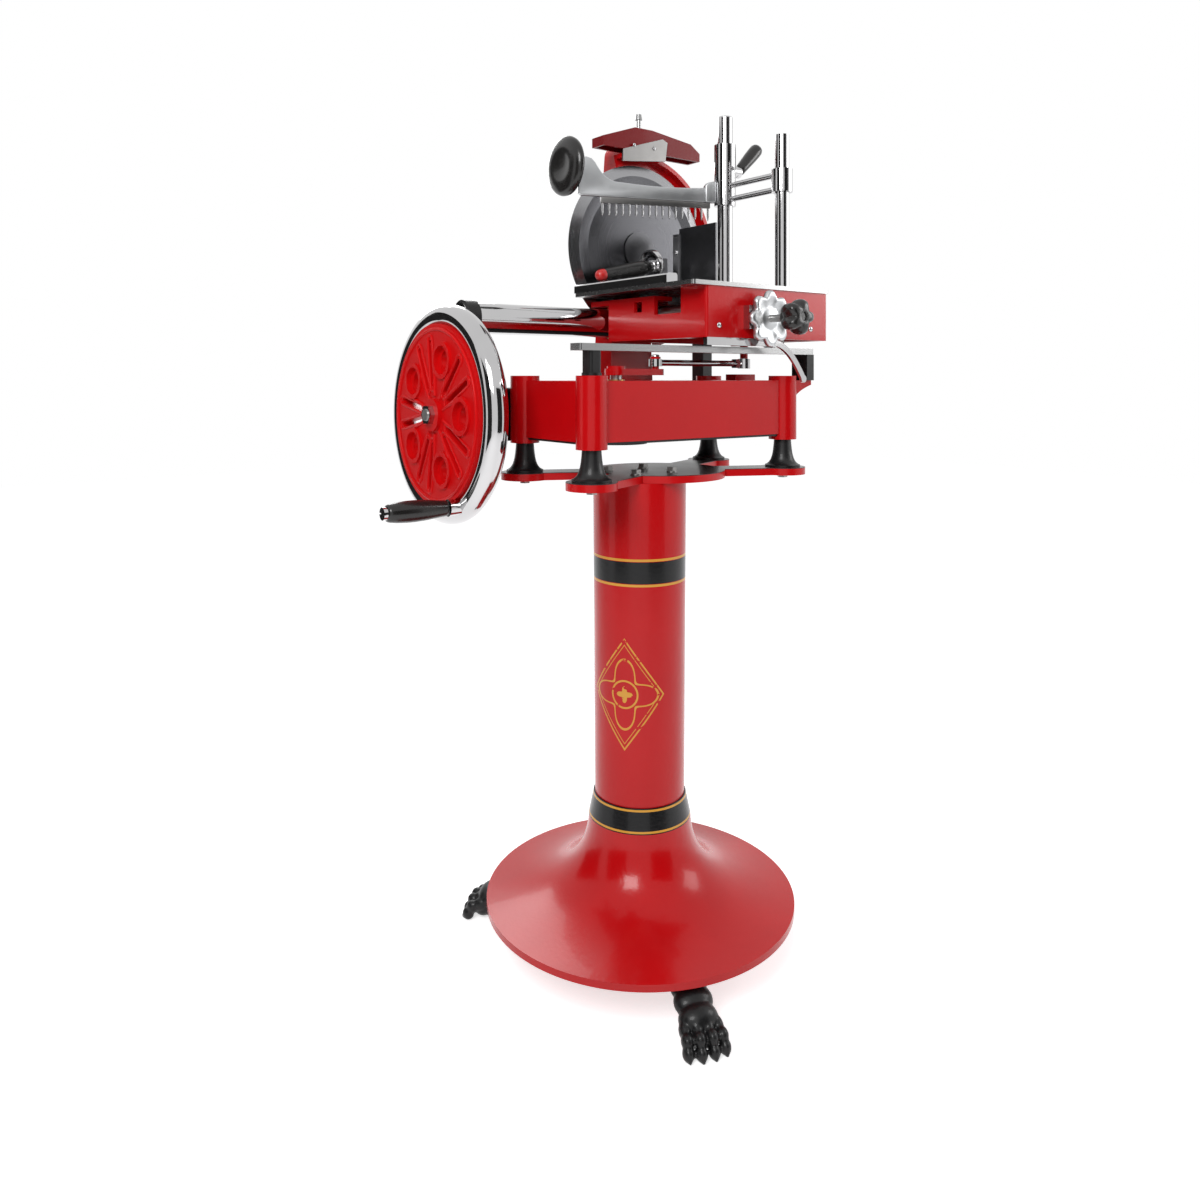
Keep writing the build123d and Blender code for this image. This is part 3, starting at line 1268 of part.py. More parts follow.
# ================================================================== gripper
clamp_radius = tall_post_radius + clamp_wall
short_clamp_radius = short_post_radius + clamp_wall
with BuildPart() as gripper_clamp:
    bar((post_x, tall_post_y, clamp_bottom), clamp_top - clamp_bottom, clamp_radius)
    bar((post_x, tall_post_y, lock_z), clamp_radius + 6, 12, ALONG_X)
    bar((post_x, tall_post_y, clamp_bottom - 1), clamp_top - clamp_bottom + 2, tall_post_radius + running_fit,
        mode=Mode.SUBTRACT)
    bar((post_x, tall_post_y, lock_z), 60, lock_pin_radius + running_fit, ALONG_X, Mode.SUBTRACT)
    bar((post_x, tall_post_y - 40, lock_z), 40, 5, ALONG_Y, Mode.SUBTRACT)
    for z in gripper_rod_z:
        bar((post_x, tall_post_y - clamp_radius - 4, z), 8, gripper_rod_radius, ALONG_Y, Mode.SUBTRACT)
gripper_clamp.part.label = "gripper_clamp"
export_step(gripper_clamp.part, "parts/gripper_clamp.step")

# Two rods forward to a sleeve on the short post.
with BuildPart() as gripper_rods:
    for z in gripper_rod_z:
        bar((post_x, short_post_y, z), tall_post_y - clamp_radius + 4 - short_post_y, gripper_rod_radius, ALONG_Y)
    with Locations((post_x, short_post_y, short_clamp_z)):
        Cylinder(short_clamp_radius, short_clamp_height)
        Cylinder(short_post_radius + running_fit, short_clamp_height + 2, mode=Mode.SUBTRACT)
gripper_rods.part.label = "gripper_rods"
export_step(gripper_rods.part, "parts/gripper_rods.step")

# Arm over the meat, yawed towards the blade, with a block at its end for the round knob.
arm_way = (-cos(radians(arm_yaw)), sin(radians(arm_yaw)), 0)
arm_plane = Plane((post_x, tall_post_y, 0), x_dir=arm_way, z_dir=(0, 0, 1))
with BuildPart() as gripper_arm:
    block(
        (round_knob_x + 4, round_knob_y - 17, gripper_arm_bottom),
        (round_knob_x + 26, round_knob_y + 17, round_knob_z + 24),
    )
    fillet(edges().filter_by(Axis.X), radius=6)
    with BuildSketch(arm_plane.offset(gripper_arm_bottom)):
        with Locations((gripper_arm_length / 2 + 10, 0)):
            Rectangle(gripper_arm_length, gripper_arm_thickness)
    extrude(amount=gripper_arm_top - gripper_arm_bottom)
    bar((post_x, tall_post_y, clamp_bottom), clamp_top - clamp_bottom, clamp_radius, mode=Mode.SUBTRACT)
    bar((round_knob_x, round_knob_y, round_knob_z), 30, knob_shaft_radius + running_fit, ALONG_X, Mode.SUBTRACT)
gripper_arm.part.label = "gripper_arm"
export_step(gripper_arm.part, "parts/gripper_arm.step")

# Comb under the arm that holds the meat.
comb_end = comb_start + comb_pitch * (comb_teeth - 1)
with BuildPart() as gripper_comb:
    with BuildSketch(arm_plane.offset(gripper_arm_bottom)):
        with Locations(((comb_start + comb_end) / 2, 0)):
            Rectangle(comb_end - comb_start + 8, 6)
    extrude(amount=-comb_bar)
    with BuildSketch(arm_plane.offset(gripper_arm_bottom - comb_bar)):
        with Locations(((comb_start + comb_end) / 2, 0)):
            with GridLocations(comb_pitch, 1, comb_teeth, 1):
                Circle(tooth_radius)
    extrude(amount=-tooth_length)
gripper_comb.part.label = "gripper_comb"
export_step(gripper_comb.part, "parts/gripper_comb.step")

# Large round hand knob on its pin.
with BuildPart() as gripper_knob:
    bar((round_knob_x - round_knob_width, round_knob_y, round_knob_z), round_knob_width, round_knob_radius, ALONG_X)
    fillet(edges().filter_by(GeomType.CIRCLE).group_by(Axis.X)[0], radius=9)
    bar((round_knob_x - 2, round_knob_y, round_knob_z), 5.7, 16, ALONG_X)
    bar((round_knob_x - 2, round_knob_y, round_knob_z), 27, knob_shaft_radius, ALONG_X)
gripper_knob.part.label = "gripper_knob"
export_step(gripper_knob.part, "parts/gripper_knob.step")

# Lock lever of the clamp, a pin with a thick black grip.
lock_x = post_x + clamp_radius + 6 + pass_gap
with BuildPart() as gripper_lock:
    bar((lock_x, tall_post_y, lock_z), 12, 12, ALONG_X)
    bar((lock_x - 12, tall_post_y, lock_z), 14, lock_pin_radius, ALONG_X)
    with Locations((lock_x + 8, tall_post_y, lock_z)):
        Cone(10, lock_radius, lock_length - 14, rotation=(0, 45, 0), align=FROM_END)
    fillet(edges().filter_by(GeomType.CIRCLE).group_by(Axis.Z)[-1], radius=8)
gripper_lock.part.label = "gripper_lock"
export_step(gripper_lock.part, "parts/gripper_lock.step")
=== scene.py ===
import json
import math

import bmesh
import bpy
from mathutils import Matrix, Vector


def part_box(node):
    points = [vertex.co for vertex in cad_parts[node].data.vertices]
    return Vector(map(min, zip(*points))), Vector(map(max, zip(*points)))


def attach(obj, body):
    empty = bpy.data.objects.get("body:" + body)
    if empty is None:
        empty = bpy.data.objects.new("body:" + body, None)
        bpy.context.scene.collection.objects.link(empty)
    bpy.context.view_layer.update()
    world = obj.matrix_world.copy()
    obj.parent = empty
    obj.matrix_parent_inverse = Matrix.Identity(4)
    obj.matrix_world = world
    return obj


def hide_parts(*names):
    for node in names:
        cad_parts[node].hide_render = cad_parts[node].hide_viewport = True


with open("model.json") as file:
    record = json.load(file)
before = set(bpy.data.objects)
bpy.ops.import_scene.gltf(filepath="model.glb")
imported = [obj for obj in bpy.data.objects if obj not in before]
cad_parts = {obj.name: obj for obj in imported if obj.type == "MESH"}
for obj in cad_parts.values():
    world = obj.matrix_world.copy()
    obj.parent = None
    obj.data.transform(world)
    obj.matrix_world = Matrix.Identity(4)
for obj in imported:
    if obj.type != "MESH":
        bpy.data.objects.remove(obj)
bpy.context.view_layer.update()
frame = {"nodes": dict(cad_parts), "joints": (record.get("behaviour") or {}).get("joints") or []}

# ------------------------------------------------------------------ Camera and studio
# The machine stands on a plain white floor. One large soft lamp is high on the left, one fills from the
# right and one lights the back. Black cards put the dark streaks into the chrome, as in a photo studio.


def shown(name, data):
    """Puts a new object into the scene."""
    made = bpy.data.objects.new(name, data)
    bpy.context.scene.collection.objects.link(made)
    return made


eye = Vector((-1.065, -1.397, 1.041))
looking = Vector((0.592, 0.806, 0.0))
camera_data = bpy.data.cameras.new("camera")
camera_data.lens = 28.2
camera_data.sensor_width = 36.0
camera_data.shift_y = -0.186
camera = shown("camera", camera_data)
camera.location = eye
camera.rotation_euler = looking.to_track_quat("-Z", "Y").to_euler()
bpy.context.scene.camera = camera
bpy.context.scene.view_settings.view_transform = "Standard"


def lamp(name, place, target, size, watts):
    """A square soft box aimed at a point."""
    light = bpy.data.lights.new(name, "AREA")
    light.shape = "SQUARE"
    light.size = size
    light.energy = watts
    soft_box = shown(name, light)
    soft_box.location = place
    soft_box.rotation_euler = (Vector(target) - Vector(place)).to_track_quat("-Z", "Y").to_euler()


lamp("key_lamp", (-2.2, -1.6, 2.6), (0.0, 0.0, 1.0), 1.3, 62.0)
lamp("fill_lamp", (2.4, -1.5, 1.8), (0.0, 0.0, 0.9), 1.2, 22.0)
lamp("back_lamp", (0.6, 2.6, 2.4), (0.0, 0.0, 1.1), 1.4, 30.0)


class Signal:
    """A node's output, which adds, multiplies and compares like a number."""

    def __init__(self, shader, socket):
        self.shader = shader
        self.socket = socket

    def __add__(self, other):
        return self.shader.math("ADD", self, other)

    def __radd__(self, other):
        return self.shader.math("ADD", other, self)

    def __sub__(self, other):
        return self.shader.math("SUBTRACT", self, other)

    def __rsub__(self, other):
        return self.shader.math("SUBTRACT", other, self)

    def __mul__(self, other):
        return self.shader.math("MULTIPLY", self, other)

    def __rmul__(self, other):
        return self.shader.math("MULTIPLY", other, self)

    def __gt__(self, other):
        return self.shader.math("GREATER_THAN", self, other)

    def __lt__(self, other):
        return self.shader.math("LESS_THAN", self, other)

    def __abs__(self):
        return self.shader.math("ABSOLUTE", self)

    def __pow__(self, other):
        return self.shader.math("POWER", self, other)


class Shader:
    """The nodes of a material or of the room, and the shader that they feed."""

    def __init__(self, owner, shader):
        owner.use_nodes = True
        self.tree = owner.node_tree
        self.shader = self.tree.nodes[shader]

    def node(self, kind, settings, sockets, output=0):
        """Adds a node: first its settings, then the values or links of its sockets."""
        made = self.tree.nodes.new(kind)
        for setting, value in settings.items():
            setattr(made, setting, value)
        for socket, value in sockets.items():
            self.feed(made.inputs[socket], value)
        return Signal(self, made.outputs[output])

    def feed(self, socket, value):
        if isinstance(value, Signal):
            self.tree.links.new(value.socket, socket)
        else:
            socket.default_value = value

    def set(self, **values):
        for socket, value in values.items():
            self.feed(self.shader.inputs[socket.replace("_", " ")], value)

    def math(self, operation, first, second=0.0):
        return self.node("ShaderNodeMath", {"operation": operation}, {0: first, 1: second})

    def blend(self, factor, first, second):
        """The first colour where the factor is 0, and the second where it is 1."""
        return self.node("ShaderNodeMix", {"data_type": "RGBA"}, {0: factor, 6: first, 7: second}, 2)

    def seen(self):
        """1 for the rays that reach the eye, straight, by a mirror or through glass."""
        straight, mirrored, through = (self.node("ShaderNodeLightPath", {}, {}, f"Is {ray} Ray")
                                       for ray in ("Camera", "Glossy", "Transmission"))
        return self.math("MINIMUM", straight + mirrored + through, 1.0)


class Finish(Shader):
    """A paint, metal or plastic, with nodes that vary it over the surface."""

    def __init__(self, name, **constants):
        self.material = bpy.data.materials.new(name)
        super().__init__(self.material, "Principled BSDF")
        self.set(**constants)

    def place(self):
        return self.node("ShaderNodeTexCoord", {}, {}, "Object")

    def along(self, axis):
        return self.node("ShaderNodeSeparateXYZ", {}, {0: self.place()}, axis)

    def noise(self, scale, detail=3.0, roughness=0.5, stretch=(1.0, 1.0, 1.0)):
        spread = self.node("ShaderNodeMapping", {}, {"Vector": self.place(), "Scale": stretch})
        return self.node("ShaderNodeTexNoise", {},
                         {"Vector": spread, "Scale": scale, "Detail": detail, "Roughness": roughness})

    def bump(self, height, depth, strength):
        self.set(Normal=self.node("ShaderNodeBump", {},
                                  {"Height": height, "Distance": depth, "Strength": strength}))

    def paint(self, *pieces):
        for piece in pieces:
            piece.data.materials.clear()
            piece.data.materials.append(self.material)

    def on(self, *names):
        self.paint(*(frame["nodes"][name] for name in names))


def stage_sheet(name, finish, corners):
    """A flat sheet of the studio through four corners."""
    mesh = bpy.data.meshes.new(name)
    mesh.from_pydata(corners, [], [(0, 1, 2, 3)])
    sheet = shown(name, mesh)
    finish.paint(sheet)


NO_LIGHT = (0.0, 0.0, 0.0, 1.0)
FULL_WHITE = (1.0, 1.0, 1.0, 1.0)
floor_reach = 9.0
floor_white = Finish("floor white", Base_Color=(0.86, 0.86, 0.86, 1.0), Roughness=0.95,
                     Specular_IOR_Level=0.0, Emission_Strength=0.68)
floor_white.set(Emission_Color=floor_white.blend(floor_white.seen(), NO_LIGHT, FULL_WHITE))
stage_sheet("floor", floor_white, [(-floor_reach, -floor_reach, 0.0), (floor_reach, -floor_reach, 0.0),
                                   (floor_reach, floor_reach, 0.0), (-floor_reach, floor_reach, 0.0)])

world = bpy.data.worlds.new("studio")
bpy.context.scene.world = world
room = Shader(world, "Background")
room.set(Color=room.blend(room.seen(), (0.42, 0.42, 0.43, 1.0), FULL_WHITE), Strength=1.0)

card_black = Finish("black card", Base_Color=(0.01, 0.01, 0.01, 1.0), Roughness=0.9)
card_top = 2.6
for card_name, near, far in (
    ("card_left", (-3.2, -1.6), (-3.2, 0.6)),
    ("card_left_back", (-3.2, 1.8), (-1.8, 4.4)),
    ("card_behind", (-0.9, -3.2), (1.5, -3.2)),
):
    stage_sheet(card_name, card_black, [(*near, 0.0), (*far, 0.0), (*far, card_top), (*near, card_top)])

# ------------------------------------------------------------------ Pedestal column
# A cast iron tube in gloss red enamel. Two gold lines frame a black band below its head, and a gold
# ornament is painted on its front: a lozenge of lines with a ring, a four-leaved line and a small heart.
RED = (0.56, 0.003, 0.005, 1.0)
SHADED_RED = (0.40, 0.002, 0.004, 1.0)
BLACK = (0.006, 0.006, 0.0065, 1.0)
GOLD = (0.72, 0.36, 0.05, 1.0)


def enamel(name, colour, shaded=None, roughness=0.22, shine=0.25):
    """Gloss paint on a casting, slightly uneven and a little darker in clouds."""
    finish = Finish(name, Coat_Weight=shine / 2, Coat_Roughness=0.06, Specular_IOR_Level=shine)
    cloud = finish.noise(7.0, 4.0)
    finish.ground = finish.blend((cloud - 0.35) * 0.9, colour, shaded) if shaded else colour
    finish.set(Base_Color=finish.ground, Roughness=cloud * 0.14 + (roughness - 0.05))
    finish.bump(finish.noise(160.0, 2.0), 0.0006, 0.35)
    return finish


def middle(name):
    """The middle of a plain piece's box."""
    low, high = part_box(name)
    return (low + high) / 2


column_axis = middle("pedestal_collar")
column_radius = 0.085
band_height, band_half = 0.692, 0.0195
line_away, line_half = 0.0225, 0.0022
ornament_height = 0.475
ornament_turn = 1.0  # radians from the front to the left
lozenge_reach, thin_lozenge_reach, thin_half = 0.098, 0.088, 0.0010
lozenge_slant = 1.35
ring_radius, ring_half = 0.024, 0.0016
leaf_middle, leaf_swing, leaf_half = 0.046, 0.016, 0.0020
heart_radius, heart_swing = 0.011, 0.004

column_enamel = enamel("column enamel", RED, SHADED_RED)
height = column_enamel.along("Z")
across = column_enamel.along("X") - column_axis.x
depth = column_enamel.along("Y") - column_axis.y
around = column_enamel.math("ARCTAN2", across, 0.0 - depth) + ornament_turn
from_band = abs(height - band_height)
band = from_band < band_half
band_lines = abs(from_band - line_away) < line_half

# the ornament is drawn on the unrolled surface, in metres from its middle
sideways = around * column_radius
upwards = height - ornament_height
from_middle = (sideways * sideways + upwards * upwards) ** 0.5
lozenge = abs(sideways) * lozenge_slant + abs(upwards)
thick_outline = abs(lozenge - lozenge_reach) < line_half
thin_outline = abs(lozenge - thin_lozenge_reach) < thin_half
ring = abs(from_middle - ring_radius) < ring_half
four_waves = column_enamel.math("COSINE", column_enamel.math("ARCTAN2", sideways, upwards) * 4.0)
leaves = abs(from_middle - (four_waves * leaf_swing + leaf_middle)) < leaf_half
heart = from_middle < (four_waves * heart_swing + heart_radius)
left_half = column_enamel.math("COSINE", around) > 0.0
unworn = column_enamel.noise(90.0, 2.0) > 0.36
ornament = (thick_outline + thin_outline + ring + leaves + heart) * left_half * unworn
gold_paint = column_enamel.math("MINIMUM", ornament + band_lines, 1.0)
banded = column_enamel.blend(band, column_enamel.ground, BLACK)
column_enamel.set(Base_Color=column_enamel.blend(gold_paint, banded, GOLD))
column_enamel.on("pedestal_column")

# ------------------------------------------------------------------ Bell foot and collar
# The trumpet-shaped foot is one thin iron casting in the same red enamel. A black collar covers the joint
# between its neck and the column, and has a gold line painted near each edge.
bell_enamel = enamel("bell enamel", RED, (0.34, 0.004, 0.005, 1.0))
bell_enamel.on("pedestal_bell")

collar_line_away, collar_line_half = 0.0175, 0.0018
collar_enamel = enamel("collar enamel", BLACK)
from_collar_middle = abs(collar_enamel.along("Z") - middle("pedestal_collar").z)
collar_lines = abs(from_collar_middle - collar_line_away) < collar_line_half
collar_enamel.set(Base_Color=collar_enamel.blend(collar_lines, BLACK, GOLD))
collar_enamel.on("pedestal_collar")

# ------------------------------------------------------------------ Paw feet
# Three iron castings in dull black paint, each a curved leg that ends in a paw with four toes and claws.
# A flat lug at the top of each is bolted under the bell.
black_iron = enamel("black iron paint", BLACK, (0.035, 0.033, 0.032, 1.0), 0.38)


def piece_from(name, form):
    """Turns a bmesh into a piece of the scene."""
    mesh = bpy.data.meshes.new(name)
    form.to_mesh(mesh)
    form.free()
    return shown(name, mesh)


def worked(piece):
    """Applies a piece's modifiers to its mesh."""
    bpy.context.view_layer.update()
    shaped = bpy.data.meshes.new_from_object(piece.evaluated_get(bpy.context.evaluated_depsgraph_get()))
    piece.modifiers.clear()
    piece.data = shaped
    return piece


def finished(piece, finish, body, stands_for=None):
    """Gives a piece its finish and its body, and hides the plain piece that it stands for."""
    finish.paint(piece)
    if piece.type == "MESH":
        for face in piece.data.polygons:
            face.use_smooth = True
    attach(piece, body)
    if stands_for:
        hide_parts(stands_for)


def lump(form, place, size, tilt):
    """An ellipsoid of the paw, placed outward from the column, sideways and up, in millimetres."""
    ball = bmesh.ops.create_icosphere(form, subdivisions=3, radius=1.0)
    squeeze = Matrix.Diagonal([part / 1000 for part in size] + [1.0])
    turn = Matrix.Rotation(math.radians(tilt), 4, "Y")
    move = Matrix.Translation([part / 1000 for part in place])
    bmesh.ops.transform(form, matrix=move @ turn @ squeeze, verts=ball["verts"])


paw = bmesh.new()
lug = bmesh.ops.create_cube(paw, size=1.0)
lug_place = Matrix.Translation((0.206, 0.0, 0.0745))
lug_size = Matrix.Diagonal((0.034, 0.042, 0.014, 1.0))
bmesh.ops.transform(paw, matrix=lug_place @ lug_size, verts=lug["verts"])
for place, size, tilt in (
    ((226, 0, 66), (28, 26, 13), 12),
    ((250, 0, 60), (28, 31, 16), 22),
    ((272, 0, 51), (26, 33, 19), 35),
    ((294, 0, 37), (25, 33, 23), 40),
    ((304, 0, 20), (22, 33, 19), 0),
    ((291, 16, 22), (14, 15, 15), 0),
    ((291, -16, 22), (14, 15, 15), 0),
):
    lump(paw, place, size, tilt)
for aside, longer, higher in ((-29, 0, 0), (-10, 5, 3), (10, 5, 3), (29, 0, 0)):
    lump(paw, (306 + longer, aside * 0.94, 30 + higher), (15, 9.4, 12), 28)
    lump(paw, (321 + longer, aside, 25 + higher), (12, 9.8, 12), 40)
    lump(paw, (329 + longer, aside * 1.04, 12), (11.5, 9.6, 12), 0)
    lump(paw, (336 + longer, aside * 1.05, 6.5), (6, 3.4, 6.0), 50)


def pressed_flat(corners):
    """Keeps a paw's corners above the floor."""
    for corner in corners:
        corner.co.z = max(corner.co.z, 0.0)


pressed_flat(paw.verts)
one_paw = piece_from("paw_shape", paw)
melt = one_paw.modifiers.new("melt", "REMESH")
melt.mode = "VOXEL"
melt.voxel_size = 0.0022
soften = one_paw.modifiers.new("soften", "SMOOTH")
soften.iterations = 3
pressed_flat(worked(one_paw).data.vertices)

paws = bmesh.new()
to_column = Matrix.Translation((column_axis.x, column_axis.y, 0.0))
for turn in (129.5, 249.5, 9.5):
    turned_paw = one_paw.data.copy()
    turned_paw.transform(to_column @ Matrix.Rotation(math.radians(turn), 4, "Z"))
    paws.from_mesh(turned_paw)
bpy.data.objects.remove(one_paw)
finished(piece_from("paw_feet_cast", paws), black_iron, "pedestal", "paw_feet")

# ------------------------------------------------------------------ Mounting plate and bolts
# A thick iron plate with a wavy outline, dark on top and red round its edge. Hexagon bolts of plain steel
# hold it to the column's flange, the legs to it and the paws to the bell.
DARK_PLATE_TOP = (0.035, 0.022, 0.022, 1.0)
dark_rim = 0.0012
plate_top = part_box("mounting_plate")[1].z
plate_enamel = enamel("plate enamel", DARK_PLATE_TOP, roughness=0.3)
# the top face and the top 1.2 mm of the edge are dark, and the edge below is red
plate_edge = plate_enamel.along("Z") < plate_top - dark_rim
plate_enamel.set(Base_Color=plate_enamel.blend(plate_edge, DARK_PLATE_TOP, RED))
plate_enamel.on("mounting_plate")


def metal(name, colour, roughness, spread=0.06, grain=(1.0, 1.0, 1.0), scale=60.0):
    """Bare metal with a fine grain in its gloss and slight stains in its colour."""
    finish = Finish(name, Metallic=1.0)
    stained = tuple(channel * 0.82 for channel in colour[:3]) + (1.0,)
    marks = finish.noise(scale, 4.0, 0.6, grain)
    finish.set(Base_Color=finish.blend(finish.noise(9.0, 4.0), colour, stained),
               Roughness=marks * spread + (roughness - spread / 2))
    finish.bump(marks, 0.0003, 0.15)
    return finish


bolt_steel = metal("bolt steel", (0.42, 0.41, 0.40, 1.0), 0.34, 0.15)
bolt_steel.on("hex_bolts")

# ------------------------------------------------------------------ Base, its legs and the drive case
# The base is a deep iron casting in gloss red enamel. It stands on four black conical legs, and the black
# drive case is screwed to its back. Pressed steel covers close both from below.
base_enamel = enamel("base enamel", RED, SHADED_RED)
base_enamel.on("base_housing")
black_iron.on("base_legs", "drive_case", "under_covers")

# ------------------------------------------------------------------ Shafts, bushes and chain
# The shafts and bevel gears are turned steel and run in pressed-in sleeves of bronze. A roller chain of
# dark oiled steel goes up inside the knife arm.
bolt_steel.on("flywheel_shaft", "cross_shaft", "chain_shaft", "crank_shaft")
bronze = metal("bronze", (0.55, 0.34, 0.14, 1.0), 0.32, 0.1)
bronze.on("shaft_bushes")
dark_steel = metal("dark steel", (0.10, 0.10, 0.105, 1.0), 0.33, 0.12)
dark_steel.on("drive_chain")

# ------------------------------------------------------------------ Flywheel
# A red iron wheel in a turned, polished and chromed rim, held on its shaft by a chromed nut. Raised beads
# are cast round each slot, round the disc's edge, and from each ring to the hub like the point of a petal.
chrome = metal("chrome", (0.58, 0.575, 0.58, 1.0), 0.07, 0.04)
chrome.on("flywheel_rim", "flywheel_nut")
wheel_enamel = enamel("wheel enamel", (0.66, 0.004, 0.005, 1.0), (0.50, 0.002, 0.004, 1.0), 0.36, 0.12)
wheel_enamel.on("flywheel_disc")

joints = {joint["name"]: joint for joint in frame["joints"]}
wheel_x, wheel_y, wheel_z = joints["flywheel_spin"]["pos_m"]
bead_face = wheel_x - 0.0238
petals = 5
slot_turns = (26, 46)  # degrees from the petal before
slot_start, slot_end, slot_round = 52, 138, 8.5
petal_start, petal_length, petal_gap, petal_opening = 33, 57, 9, 19
edge_radius = 156
slot_bead, petal_bead, edge_bead = 0.0022, 0.0032, 0.0030
half_turn = [math.pi * step / 8 for step in range(9)]


def bead(name, path, radius, closed=True):
    """A round bead along a path of points."""
    curve = bpy.data.curves.new(name, "CURVE")
    curve.dimensions = "3D"
    curve.bevel_depth = radius
    curve.bevel_resolution = 3
    line = curve.splines.new("POLY")
    line.points.add(len(path) - 1)
    for point, place in zip(line.points, path):
        point.co = (*place, 1.0)
    line.use_cyclic_u = closed
    return shown(name, curve)


def on_wheel(outward, aside, turn):
    """A point on the wheel's left face: millimetres from its axis, on a ray turned from the front up."""
    angle = math.radians(turn)
    forward = (outward * math.cos(angle) - aside * math.sin(angle)) / 1000
    upward = (outward * math.sin(angle) + aside * math.cos(angle)) / 1000
    return (bead_face, wheel_y - forward, wheel_z + upward)


def slot_edge(turn):
    """The line round a slot: a half circle at its outer end and one at its inner end."""
    outer = [on_wheel(slot_end + slot_round * math.sin(angle), slot_round * math.cos(angle), turn)
             for angle in half_turn]
    inner = [on_wheel(slot_start - slot_round * math.sin(angle), -slot_round * math.cos(angle), turn)
             for angle in half_turn]
    return outer + inner


def petal_edge(side, turn):
    """One of the two lines from the hub that open towards a ring."""
    line = []
    for step in range(11):
        share = step / 10
        aside = side * (petal_gap + petal_opening * share ** 0.8)
        line.append(on_wheel(petal_start + petal_length * share, aside, turn))
    return line


for petal in range(petals):
    petal_turn = petal * 360 // petals
    for slot_turn in slot_turns:
        turn = petal_turn + slot_turn
        one_slot = bead(f"slot_bead_{turn}", slot_edge(turn), slot_bead)
        finished(one_slot, wheel_enamel, "flywheel")
    for side in (-1, 1):
        one_side = bead(f"petal_bead_{petal}_{side + 1}", petal_edge(side, petal_turn), petal_bead, False)
        finished(one_side, wheel_enamel, "flywheel")
disc_edge = [on_wheel(edge_radius, 0, turn) for turn in range(0, 360, 5)]
finished(bead("disc_edge_bead", disc_edge, edge_bead), wheel_enamel, "flywheel")

# ------------------------------------------------------------------ Crank grip
# A swelling grip of black phenolic plastic, pressed, polished and finely scratched from use. It turns on
# a chromed pin that is screwed into the wheel's rim.
chrome.on("grip_pin")
plastic = Finish("black plastic", Coat_Weight=0.2, Coat_Roughness=0.08, Specular_IOR_Level=0.35)
scuffs = plastic.noise(45.0, 5.0)
plastic.set(Base_Color=plastic.blend(scuffs, (0.008, 0.008, 0.008, 1.0), (0.022, 0.02, 0.019, 1.0)),
            Roughness=scuffs * 0.2 + 0.14)
plastic.bump(plastic.noise(260.0, 2.0), 0.0003, 0.3)


def creased(piece, degrees=35.0):
    """Keeps a piece's sharp corners sharp under smooth shading."""
    form = bmesh.new()
    form.from_mesh(piece.data)
    for edge in form.edges:
        edge.smooth = edge.calc_face_angle(0.0) < math.radians(degrees)
    form.to_mesh(piece.data)
    form.free()
    return piece


def turned(name, start, axis, profile, crease=35.0, lobes=0, lobe_depth=0.0, segments=72):
    """A piece turned on a lathe, from (radius, distance along the axis) in millimetres.

    On a lobed piece, a third number is the point's share of the hollows between the lobes.
    """
    way = Vector(axis).normalized()
    first = way.cross(Vector((0, 0, 1)) if abs(way.z) < 0.9 else Vector((1, 0, 0))).normalized()
    second = way.cross(first)
    form = bmesh.new()
    circles = []
    for radius, distance, *share in profile:
        centre = Vector(start) + way * distance / 1000
        if radius == 0:
            circles.append([form.verts.new(centre)])
            continue
        circle = []
        for step in range(segments):
            angle = 2 * math.pi * step / segments
            hollow = sum(share) * lobe_depth * (0.5 - 0.5 * math.cos(lobes * angle)) ** 1.5
            reach = radius / 1000 * (1.0 - hollow)
            spoke = first * math.cos(angle) * reach + second * math.sin(angle) * reach
            circle.append(form.verts.new(centre + spoke))
        circles.append(circle)
    for near, far in zip(circles, circles[1:]):
        for step in range(segments):
            after = (step + 1) % segments
            if len(near) == 1:
                form.faces.new((near[0], far[after], far[step]))
            elif len(far) == 1:
                form.faces.new((near[step], near[after], far[0]))
            else:
                form.faces.new((near[step], near[after], far[after], far[step]))
    bmesh.ops.recalc_face_normals(form, faces=form.faces)
    return creased(piece_from(name, form), crease)


_, grip_y, grip_z = joints["handle_spin"]["pos_m"]
grip_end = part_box("crank_grip")[0].x
grip = turned(
    "crank_grip_turned", (grip_end, grip_y, grip_z), (1, 0, 0),
    [(0, 0), (11, 0), (14, 1.5), (15.5, 5), (17.5, 18), (18.7, 36), (18.8, 50), (17.8, 70), (16.0, 88),
     (14.6, 100), (14.2, 107), (13, 112), (10, 114), (0, 114)], 50)
finished(grip, plastic, "handle", "crank_grip")

# ------------------------------------------------------------------ Guide tube and front rail
# The carriage runs on a hard chromed tube in two black brackets, and on a flat ground steel rail that a
# black post and a black bracket carry in front. All are bolted to the base.
chrome.on("guide_tube")
ground_steel = metal("ground steel", (0.34, 0.34, 0.34, 1.0), 0.26, 0.12, (0.05, 1.0, 1.0), 180.0)
ground_steel.on("front_rail")
black_iron.on("tube_brackets", "rail_mounts")

# ------------------------------------------------------------------ Crank and connecting rod
# A red cast crank on an upright shaft drives the carriage through a chromed rod. The rod turns on the
# crank's pin, which a bright domed head closes from above.
base_enamel.on("crank_arm")
chrome.on("connecting_rod")


